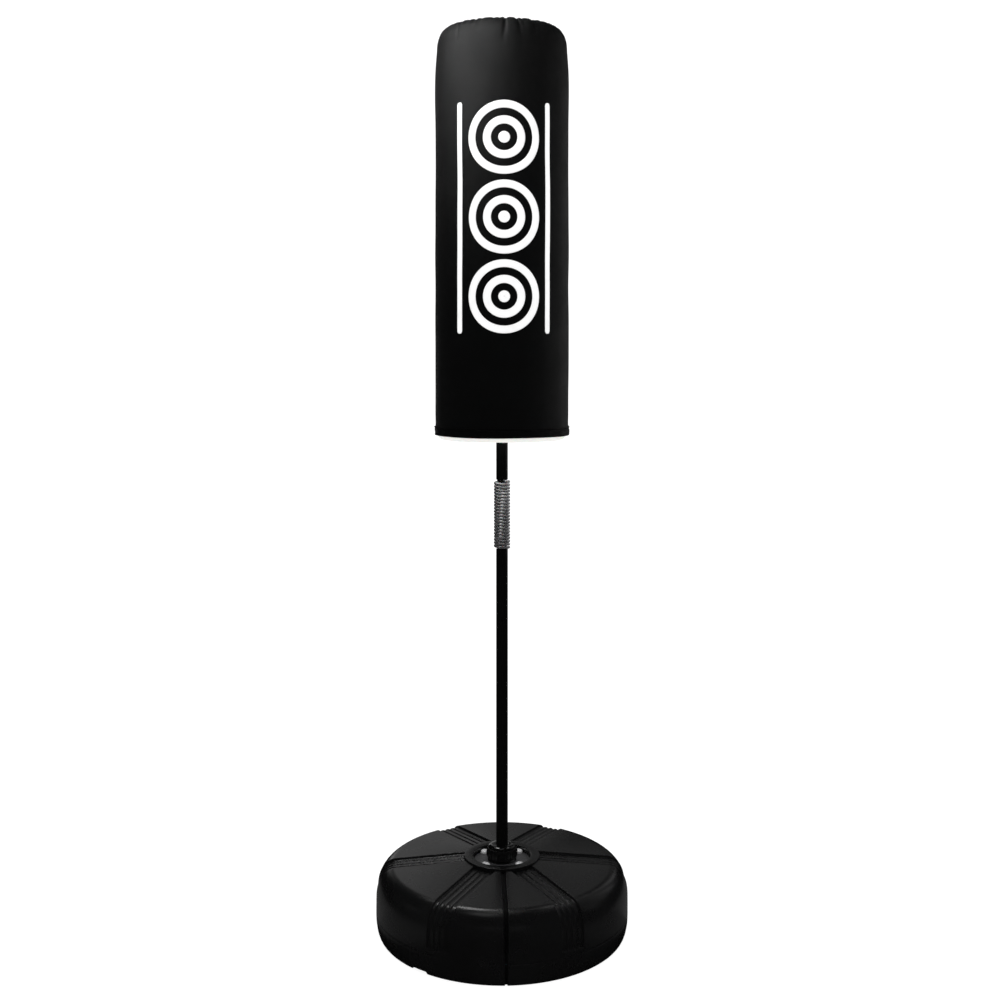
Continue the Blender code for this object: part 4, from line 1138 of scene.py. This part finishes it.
def simulate_gathers(obj, settings, rows, columns):
    """Lets the wide sleeve settle on its narrow top seam, so that the spare cloth buckles into gathers."""
    mesh = obj.data
    start = np.zeros(len(mesh.vertices) * 3, np.float32)
    mesh.vertices.foreach_get("co", start)
    start = start.reshape(-1, 3).astype(float)
    grid = start.reshape(rows, columns, 3)
    obj.shape_key_add(name="sewn")
    flat = obj.shape_key_add(name="cut")
    radius = np.hypot(grid[:, :, 0], grid[:, :, 1])
    mean = radius.mean(1)
    down = np.r_[0, np.cumsum(np.hypot(np.diff(mean), np.diff(grid[:, :, 2].mean(1))))]
    cut_radius = np.maximum(mean, COVER_RADIUS - 0.0005 - 0.006 * np.exp(-down / 0.01))
    cut_height = grid[:, :, 2].mean(1)[-1] + down[-1] - down
    even = np.arange(columns) * 2 * np.pi / columns
    cut = np.stack([cut_radius[:, None] * np.cos(even), cut_radius[:, None] * np.sin(even),
                    np.repeat(cut_height[:, None], columns, 1)], -1)
    flat.data.foreach_set("co", cut.reshape(-1).astype(np.float32))
    pinned = obj.vertex_groups.new(name="sewn_edges")
    held = 1 - smooth_step(COVER_TOP - 0.20, COVER_TOP - 0.13, grid[:, :, 2].mean(1))
    held[0] = 1.0
    for i in range(rows):
        if held[i] > 0:
            pinned.add(list(range(i * columns, (i + 1) * columns)), float(held[i]), "REPLACE")
    cloth = obj.modifiers.new("gathers", "CLOTH")
    set_up = cloth.settings
    set_up.quality = 7
    set_up.mass = 0.15
    set_up.tension_stiffness = set_up.compression_stiffness = 12
    set_up.shear_stiffness = 3
    set_up.bending_stiffness = 0.04
    set_up.tension_damping = set_up.compression_damping = 8
    set_up.air_damping = 2
    set_up.rest_shape_key = flat
    set_up.vertex_group_mass = "sewn_edges"
    set_up.use_pressure = True
    set_up.uniform_pressure_force = settings.pressure
    set_up.effector_weights.gravity = 0
    cloth.point_cache.frame_start, cloth.point_cache.frame_end = 1, 24
    scene = bpy.context.scene
    for number in range(1, 23):
        scene.frame_set(number)
    graph = bpy.context.evaluated_depsgraph_get()
    ended = obj.evaluated_get(graph).to_mesh()
    settled = np.zeros(len(ended.vertices) * 3, np.float32)
    ended.vertices.foreach_get("co", settled)
    obj.evaluated_get(graph).to_mesh_clear()
    obj.modifiers.clear()
    obj.shape_key_clear()
    scene.frame_set(1)
    move = settled.reshape(-1, 3) - start
    size = np.linalg.norm(move, axis=1, keepdims=True)
    move *= np.minimum(1, settings.most_move / np.maximum(size, 1e-9))
    placed = start + move
    reach = np.hypot(placed[:, 0], placed[:, 1])
    most = COVER_RADIUS + 0.0035
    placed[:, :2] *= np.minimum(1, most / reach)[:, None]
    placed[:, 2] = np.minimum(placed[:, 2], COVER_TOP + 0.002)
    mesh.vertices.foreach_set("co", placed.reshape(-1).astype(np.float32))
    mesh.update()


def turned_in(points, depth, rise, rows=3):
    """Adds rows that fold the lower edge inwards and up."""
    last = points[-1]
    radial = last.copy()
    radial[:, 2] = 0
    radial /= np.linalg.norm(radial, axis=1)[:, None]
    folded = [last - radial * depth * 0.5 + np.array([0, 0, -0.0004]), last - radial * depth]
    for k in range(1, rows):
        folded.append(last - radial * depth + np.array([0, 0, rise * k / (rows - 1)]))
    return np.concatenate([points, np.array(folded)])


class BAG_OT_foam(Operator):
    """Build the foam core, seen below the cover's edge"""
    bl_idname = "punching_bag.foam"
    bl_label = "Foam Core"

    def execute(self, context):
        settings = context.scene.bag_cover
        top = high("foam_core").z
        corners = [(0, top - 0.002, 0), (0.094, top - 0.002, 0.006), (0.1185, COVER_TOP - 0.046, 0.02),
                   (FOAM_RADIUS - 0.0012, COVER_TOP - 0.12, 0.02), (FOAM_RADIUS - 0.0006, FOAM_BOTTOM + 0.03, 0.01),
                   (FOAM_RADIUS - 0.0004, FOAM_BOTTOM, 0.0135), (0.0143, FOAM_BOTTOM, 0.0015),
                   (0.0143, high("core_plug").z + 0.0003, 0), (0, high("core_plug").z + 0.0003, 0)]
        outline = with_supports(rounded(corners, 8), 0.02)
        chance = np.random.default_rng(5)
        phases = chance.uniform(0, 6.28, 8)

        def uneven(r, z, angle):
            if z < FOAM_BOTTOM + 0.05 and r > 0.02:
                wave = sum(math.sin((k + 2) * angle + phases[k]) / (k + 2) for k in range(8))
                z += 0.0005 * wave * min(1, (r - 0.02) / 0.03) if z < FOAM_BOTTOM + 0.004 else 0
                z = max(z, FOAM_BOTTOM)
            return r, z

        foam = add_piece("foam_body", turned_mesh("foam_body", outline, 120, uneven),
                         cut_foam("white_foam", settings.foam_colour), 45)
        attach(foam, "bag")
        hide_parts("foam_core")
        return {"FINISHED"}


class BAG_OT_cover(Operator):
    """Build the gathered cover sleeve, its top panel, hem and seams"""
    bl_idname = "punching_bag.cover"
    bl_label = "Cover"

    def execute(self, context):
        settings = context.scene.bag_cover
        cloth = woven_cloth("black_woven_nylon", settings.fabric_colour, 0.0007, 0.62, 0.006, 0.5)
        tape = woven_cloth("black_hem_tape", tint(settings.fabric_colour, 0.6), 0.0011, 0.62, 0.004, 0.4)
        thread = twisted_thread("black_thread", (0.0028, 0.0028, 0.003))
        points, uv = cover_points(settings)
        points = turned_in(points, 0.0018, 0.012)
        extra = points.shape[0] - uv.shape[0]
        more = np.repeat(uv[-1:], extra, 0)
        more[:, :, 1] -= np.linspace(0.001, 0.014, extra)[:, None]
        uv = np.concatenate([uv, more])
        sleeve = add_piece("cover_sleeve", grid_mesh("cover_sleeve", points, uv), cloth, 0)
        simulate_gathers(sleeve, settings, points.shape[0], points.shape[1])
        rim = np.array([v.co for v in sleeve.data.vertices[:points.shape[1]]])
        finer = sleeve.modifiers.new("finer", "SUBSURF")
        finer.levels = finer.render_levels = 1
        finer.boundary_smooth = "PRESERVE_CORNERS"
        bake(sleeve)
        sleeve.data.shade_smooth()
        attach(sleeve, "bag")
        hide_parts("cover_body")

        panel = add_piece("top_panel", self.panel_mesh(settings, rim), cloth, 0)
        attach(panel, "bag")
        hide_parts("cover_top")

        hem = add_piece("hem_band", self.hem_mesh(), tape, 50)
        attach(hem, "bag")
        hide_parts("cover_hem")

        tree = shared_tree("row_of_stitches", stitch_tree)
        tree_values = {"Pitch": settings.stitch_pitch, "Stitch Length": settings.stitch_pitch * 0.7,
                       "Thread Radius": 0.00036}
        surface = BVHTree.FromPolygons([v.co for v in sleeve.data.vertices],
                                       [p.vertices[:] for p in sleeve.data.polygons])
        seam = []
        for side in (-0.0032, 0.0032):
            z = COVER_TOP - 0.050
            while z > COVER_BOTTOM + 0.02:
                hit = surface.ray_cast(Vector((side, 0.3, z)), Vector((0, -1, 0)))
                seam.append((side, hit[0].y + 0.0001, z))
                z -= 0.012
        half = len(seam) // 2
        mesh = bpy.data.meshes.new("seam_lines")
        mesh.from_pydata(seam, [(i, i + 1) for i in range(len(seam) - 1) if i != half - 1], [])
        rows = [("back_seam_stitches", mesh)]
        lines = []
        edges = []
        for z in (COVER_BOTTOM + 0.0035, COVER_BOTTOM + 0.0128):
            start = len(lines)
            for k in range(180):
                angle = 2 * math.pi * k / 180
                r = self.hem_radius(z, angle) + 0.0001
                lines.append((r * math.cos(angle), r * math.sin(angle), z))
                edges.append((start + k, start + (k + 1) % 180))
        mesh = bpy.data.meshes.new("hem_lines")
        mesh.from_pydata(lines, edges, [])
        rows.append(("hem_stitches", mesh))
        for name, start_mesh in rows:
            stitches = grow(name, tree, thread, tree_values, start_mesh, smooth=0)
            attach(stitches, "bag")
        return {"FINISHED"}

    @staticmethod
    def hem_radius(z, angle):
        """The hem band's outside: a slight flare, a piping bead at its upper edge and a soft lower roll."""
        share = (z - COVER_BOTTOM) / HEM_HEIGHT
        body = 0.1260 + 0.0006 * (1 - share) - 0.0009 * max(0.0, 1 - share / 0.16) ** 2
        bead = 0.0006 * math.exp(-((share - 0.93) / 0.07) ** 2)
        dip = 0.0010 * math.exp(-((share - 0.80) / 0.06) ** 2) + 0.0006 * math.exp(-((share - 0.22) / 0.06) ** 2)
        wave = (0.00030 * math.sin(5 * angle + 5 * share) + 0.00026 * math.sin(11 * angle + 1.7 - 4 * share)
                + 0.00018 * math.sin(23 * angle + 6 * share) + 0.00012 * math.sin(41 * angle))
        return body + bead - dip + wave

    def hem_mesh(self):
        columns = 240
        rows = []
        inner = COVER_RADIUS + 0.0003
        for share in [1.0 - k / 26 for k in range(27)]:
            z = COVER_BOTTOM + HEM_HEIGHT * share
            rows.append([(self.hem_radius(z, 2 * math.pi * j / columns), z, j) for j in range(columns)])
        rows.append([(inner + 0.0006, COVER_BOTTOM, j) for j in range(columns)])
        rows.append([(inner, COVER_BOTTOM + 0.0004, j) for j in range(columns)])
        rows.append([(inner, COVER_BOTTOM + HEM_HEIGHT - 0.0004, j) for j in range(columns)])
        rows.append([(inner + 0.0005, COVER_BOTTOM + HEM_HEIGHT, j) for j in range(columns)])
        points = np.array([[(r * math.cos(2 * math.pi * j / columns), r * math.sin(2 * math.pi * j / columns),
                             z + 0.0003 * math.sin(4 * 2 * math.pi * j / columns)) for r, z, j in row]
                           for row in rows])
        angle = np.arange(columns) * 2 * np.pi / columns
        down = np.linspace(0, 0.040, len(rows))
        uv = np.stack(np.broadcast_arrays(angle[None] * COVER_RADIUS, -down[:, None]), -1)
        return grid_mesh("hem_band", points, uv, close_rows=True)

    @staticmethod
    def panel_mesh(settings, rim):
        """The round top panel: a low crown with puckers at its seam, sewn to the sleeve's top edge."""
        columns = rim.shape[0]
        angle = np.arctan2(rim[:, 1], rim[:, 0])
        rim_r = np.hypot(rim[:, 0], rim[:, 1])
        shares = np.r_[1.0, 0.985, 0.97, 0.95, 0.925, 0.9, 0.86, 0.8, 0.7, 0.55, 0.4, 0.25, 0.1, 0.02]
        points = []
        for share in shares:
            r = rim_r * share
            edge = (1 - share) * 0.1
            puckers = gathers(settings, angle, np.full(columns, 0.6 * edge)) * 0.5
            z = COVER_TOP - 0.0012 + 0.0012 * min(1, edge / 0.012) - 0.0007 * math.exp(-(edge / 0.004) ** 2) \
                - np.maximum(puckers, 0) * min(1, edge / 0.003)
            points.append(np.stack([r * np.cos(angle), r * np.sin(angle), np.minimum(z, COVER_TOP)], -1))
        points = np.array(points)[::-1]
        flat = points[:, :, :2]
        below = points[::-1] - np.array([0, 0, 0.0016])
        below[0] = points[-1] * np.array([0.9985, 0.9985, 1]) - np.array([0, 0, 0.0008])
        closed = np.concatenate([points, below])
        uv = np.concatenate([flat, flat[::-1]])
        mesh = grid_mesh("top_panel", closed, None, cap=True)
        layer = mesh.uv_layers.new(name="cloth")
        table = uv.reshape(-1, 2)
        loops = np.zeros(len(mesh.loops), np.int32)
        mesh.loops.foreach_get("vertex_index", loops)
        layer.data.foreach_set("uv", table[loops].reshape(-1).astype(np.float32))
        return mesh


# ---------------------------------------------------------------- print
class PrintSettings(PropertyGroup):
    ring_radius: length("Ring radius", "Outside of a strike target", 0.066, 0.03, 0.09)
    spacing: length("Spacing", "From one target's middle to the next", 0.142, 0.06, 0.25)
    centre_height: length("Middle height", "Height of the middle target", 1.320, 1.0, 1.6)
    colour: colour_choice("Ink colour", "Colour of the printed targets", (0.88, 0.88, 0.88))


class BAG_OT_print(Operator):
    """Print the plain strike targets on the front of the cover"""
    bl_idname = "punching_bag.print"
    bl_label = "Strike Targets"

    def execute(self, context):
        settings = context.scene.bag_print
        sleeve = bpy.data.objects["cover_sleeve"]
        surface = BVHTree.FromPolygons([v.co for v in sleeve.data.vertices],
                                       [p.vertices[:] for p in sleeve.data.polygons])
        vertices, faces = [], []

        def patch(grid):
            rows, columns = len(grid), len(grid[0])
            start = len(vertices)
            for row in grid:
                for s, z in row:
                    angle = -math.pi / 2 + s / COVER_RADIUS
                    out = Vector((math.cos(angle), math.sin(angle), 0))
                    hit = surface.ray_cast(out * 0.2 + Vector((0, 0, z)), -out)
                    if hit[0] is None:
                        raise RuntimeError("the print misses the cover")
                    vertices.append(hit[0] + out * 0.00035)
            for i in range(rows - 1):
                for j in range(columns - 1):
                    a = start + i * columns + j
                    faces.append((a, a + columns, a + columns + 1, a + 1))

        def ring(height, outer, inner, steps=96):
            """An annulus, or a disc when inner is 0."""
            widths = max(2, math.ceil((outer - inner) / 0.004) + 1)
            grid = []
            for i in range(widths):
                r = inner + (outer - inner) * i / (widths - 1)
                r = max(r, 0.0002)
                grid.append([(r * math.cos(2 * math.pi * j / steps), height + r * math.sin(2 * math.pi * j / steps))
                             for j in range(steps + 1)])
            patch(grid)

        def bar(s_low, s_high, z_low, z_high, corner):
            """An upright bar with round corners."""
            widths, heights = 7, 120
            grid = []
            for i in range(widths):
                across = i / (widths - 1)
                s = s_low + (s_high - s_low) * across
                edge = min(s - s_low, s_high - s)
                cut = corner - math.sqrt(max(corner ** 2 - max(corner - edge, 0) ** 2, 0))
                grid.append([(s, z_low + cut + (z_high - z_low - 2 * cut) * j / (heights - 1))
                             for j in range(heights)])
            patch(grid)

        for step in (-1, 0, 1):
            height = settings.centre_height + step * settings.spacing
            size = settings.ring_radius
            ring(height, size, size * 0.79)
            ring(height, size * 0.58, size * 0.36)
            ring(height, size * 0.16, 0.0, 48)
        tall = settings.spacing + settings.ring_radius
        for side in (-1, 1):
            near, far = sorted((side * (settings.ring_radius + 0.014), side * (settings.ring_radius + 0.025)))
            bar(near, far, settings.centre_height - tall, settings.centre_height + tall, 0.004)
        mesh = bpy.data.meshes.new("strike_targets")
        mesh.from_pydata(vertices, [], faces)
        form = bmesh.new()
        form.from_mesh(mesh)
        bmesh.ops.remove_doubles(form, verts=form.verts, dist=1e-6)
        form.normal_update()
        for face in form.faces:
            centre = face.calc_center_median()
            if face.normal.dot(Vector((centre.x, centre.y, 0))) < 0:
                face.normal_flip()
        form.to_mesh(mesh)
        form.free()
        ink = add_piece("strike_targets", mesh, print_ink("white_print_ink", settings.colour), 50)
        film = ink.modifiers.new("film", "SOLIDIFY")
        film.thickness = 0.00022
        film.offset = -1
        bake(ink)
        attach(ink, "bag")
        return {"FINISHED"}


# ---------------------------------------------------------------- studio
class StageSettings(PropertyGroup):
    paper_colour: colour_choice("Paper colour", "Colour of the floor and backdrop", (1.0, 1.0, 1.0))
    paper_glow: FloatProperty(name="Paper glow", description="Light that the paper carries itself", default=0.9,
                              min=0.0, max=3.0)
    surround: FloatProperty(name="Surround", description="Brightness of the unlit room in reflections",
                            default=0.003, min=0.0, max=1.0)
    crown: level("Crown boxes", "Level of the boxes that light the cover's top from the left")
    right_strips: level("Right strips", "Level of the tall strips beside the cover")
    rear_panels: level("Rear panels", "Level of the panels the top of the base mirrors")
    overhead: level("Overhead boxes", "Level of the boxes over the front shoulder")
    floor_cards: level("Floor cards", "Level of the cards beside the foot of the base")


class BAG_OT_stage(Operator):
    """Set up the camera, the pale floor and backdrop and the studio lights"""
    bl_idname = "punching_bag.stage"
    bl_label = "Studio"

    def execute(self, context):
        settings = context.scene.bag_stage
        scene = context.scene
        scene.view_settings.view_transform = "Standard"
        self.camera(scene)
        paper = studio_paper("seamless_paper", settings.paper_colour, settings.paper_glow)
        outline = [(0, -0.0004)]
        outline += [(r, -0.0004) for r in (0.3, 1, 3, 6)]
        outline += [(6 + 3 * math.sin(math.radians(a)), 3 - 3 * math.cos(math.radians(a))) for a in range(10, 91, 10)]
        outline += [(9, 8), (8, 11), (5, 13), (0, 13.5)]
        dome = add_piece("studio_paper", turned_mesh("studio_paper", outline, 96), paper, 0)
        dome.data.flip_normals()
        dome.visible_glossy = False

        world = bpy.data.worlds.new("unlit_room")
        world.use_nodes = True
        background = world.node_tree.nodes["Background"]
        background.inputs["Color"].default_value = (1, 1, 1, 1)
        background.inputs["Strength"].default_value = settings.surround
        scene.world = world

        for number, (place, size, power) in enumerate((
                ((-1.30, -0.32, 2.12), (0.42, 0.40), 0.30), ((-1.05, -0.70, 2.22), (0.42, 0.40), 0.58),
                ((-1.20, -0.60, 2.60), (0.42, 0.40), 0.47), ((0.90, -0.90, 2.20), (0.40, 0.40), 0.03))):
            self.box(f"crown_box_{number + 1}", place, (0, 0, 1.76), size, power * settings.crown, 32)
        for number, (place, power) in enumerate((
                ((0.95, 1.15, 1.30), 0.28), ((1.25, 0.75, 1.30), 0.28), ((1.35, 0.35, 1.30), 0.16),
                ((1.30, -0.10, 1.30), 0.11))):
            self.box(f"right_strip_{number + 1}", place, (0, 0, 1.28), (0.26, 1.4), power * settings.right_strips, 120)
        for name, place, size in (("front_panel_left", (-0.75, -3.3, 1.25), (1.1, 0.9)),
                                  ("front_panel_right", (0.75, -3.3, 1.25), (0.9, 0.9)),
                                  ("side_panel_left", (-3.2, 0.1, 1.25), (1.2, 0.9)),
                                  ("side_panel_right", (3.2, 0.1, 1.25), (1.2, 0.9))):
            self.box(name, place, (0, 0, 0.10), size, 0.005 * settings.rear_panels, 18)
        for column, (x, width, powers) in enumerate((
                (-1.1, 0.6, (0.165, 0.0, 0.0)), (-0.6, 0.4, (0.041, 0.048, 0.034)), (-0.2, 0.4, (0.043, 0.012, 0.027)),
                (0.2, 0.4, (0.020, 0.0, 0.029)), (0.6, 0.4, (0.002, 0.019, 0.012)), (1.1, 0.6, (0.016, 0.012, 0.0)))):
            for row, (z, height) in enumerate(((0.725, 0.75), (1.45, 0.7), (2.25, 0.9))):
                if powers[row]:
                    self.box(f"rear_panel_{column + 1}_{row + 1}", (x, 3.0, z), (0, 0, 0.6), (width, height),
                             powers[row] * settings.rear_panels, 60)
        for number, (x, power) in enumerate(((-0.6, 0.12), (-0.3, 0.60), (0.6, 0.12))):
            self.box(f"overhead_box_{number + 1}", (x, 0.85, 1.80), (0, -0.15, 0.12), (0.28, 0.28),
                     power * settings.overhead, 90)
        self.box("shoulder_card_left", (-0.12, -0.25, 0.62), (-0.072, -0.20, 0.10), (0.16, 0.16),
                 0.016 * settings.overhead, 90)
        self.box("shoulder_card_right", (0.32, -0.05, 0.75), (0.32, -0.05, 0.0), (0.16, 0.30),
                 0.008 * settings.overhead, 90)
        for number, (x, y, depth, power) in enumerate((
                (-0.43, 0.24, 0.46, 0.045), (-0.43, -0.16, 0.34, 0.027), (0.43, 0.24, 0.46, 0.05),
                (0.43, -0.16, 0.34, 0.018))):
            self.box(f"floor_card_{number + 1}", (x, y, 0.004), (x, y, 1.0), (0.35, depth),
                     power * settings.floor_cards, 180)
        return {"FINISHED"}

    @staticmethod
    def camera(scene):
        data = bpy.data.cameras.new("studio_camera")
        data.lens, data.sensor_width = 46.08, 36.0
        data.shift_x, data.shift_y = -0.002, -0.1434
        data.clip_start, data.clip_end = 0.05, 60.0
        turn, distance, height = math.radians(1.8), 2.404, 1.0706
        camera = bpy.data.objects.new("studio_camera", data)
        camera.location = (-distance * math.sin(turn), -distance * math.cos(turn), height)
        camera.rotation_euler = (math.pi / 2, 0, -turn)
        scene.collection.objects.link(camera)
        scene.camera = camera

    @staticmethod
    def box(name, place, aim, size, power, spread):
        data = bpy.data.lights.new(name, "AREA")
        data.shape = "RECTANGLE"
        data.size, data.size_y = size
        data.energy = power
        data.spread = math.radians(spread)
        light = bpy.data.objects.new(name, data)
        light.location = place
        light.rotation_euler = (Vector(aim) - Vector(place)).to_track_quat("-Z", "Y").to_euler()
        light.visible_camera = False
        bpy.context.scene.collection.objects.link(light)


# ---------------------------------------------------------------- panel and run
class BAG_PT_panel(Panel):
    bl_idname = "BAG_PT_panel"
    bl_label = "Punching Bag"
    bl_space_type = "VIEW_3D"
    bl_region_type = "UI"
    bl_category = "Punching Bag"

    def draw(self, context):
        layout = self.layout
        scene = context.scene
        parts = ((scene.bag_base, ("moulded_base", "filler")), (scene.bag_hub, ("hub",)),
                 (scene.bag_pole, ("pole", "spring")), (scene.bag_cover, ("foam", "cover")),
                 (scene.bag_print, ("print",)), (scene.bag_stage, ("stage",)))
        for settings, operators in parts:
            box = layout.box()
            for key in settings.__annotations__:
                box.prop(settings, key)
            for operator in operators:
                box.operator("punching_bag." + operator)


SETTINGS = (("bag_base", BaseSettings), ("bag_hub", HubSettings), ("bag_pole", PoleSettings),
            ("bag_cover", BagSettings), ("bag_print", PrintSettings), ("bag_stage", StageSettings))
OPERATORS = (BAG_OT_stage, BAG_OT_moulded_base, BAG_OT_filler, BAG_OT_hub, BAG_OT_pole, BAG_OT_spring,
             BAG_OT_foam, BAG_OT_cover, BAG_OT_print)


def register():
    for name, group in SETTINGS:
        bpy.utils.register_class(group)
        setattr(bpy.types.Scene, name, PointerProperty(type=group))
    for kind in OPERATORS + (BAG_PT_panel,):
        bpy.utils.register_class(kind)


def unregister():
    for kind in reversed(OPERATORS + (BAG_PT_panel,)):
        bpy.utils.unregister_class(kind)
    for name, group in reversed(SETTINGS):
        delattr(bpy.types.Scene, name)
        bpy.utils.unregister_class(group)


def main():
    register()
    bpy.ops.punching_bag.stage()
    bpy.ops.punching_bag.moulded_base()
    bpy.ops.punching_bag.filler()
    bpy.ops.punching_bag.hub()
    bpy.ops.punching_bag.pole()
    bpy.ops.punching_bag.spring()
    bpy.ops.punching_bag.foam()
    bpy.ops.punching_bag.cover()
    bpy.ops.punching_bag.print()


if __name__ == "__main__":
    main()
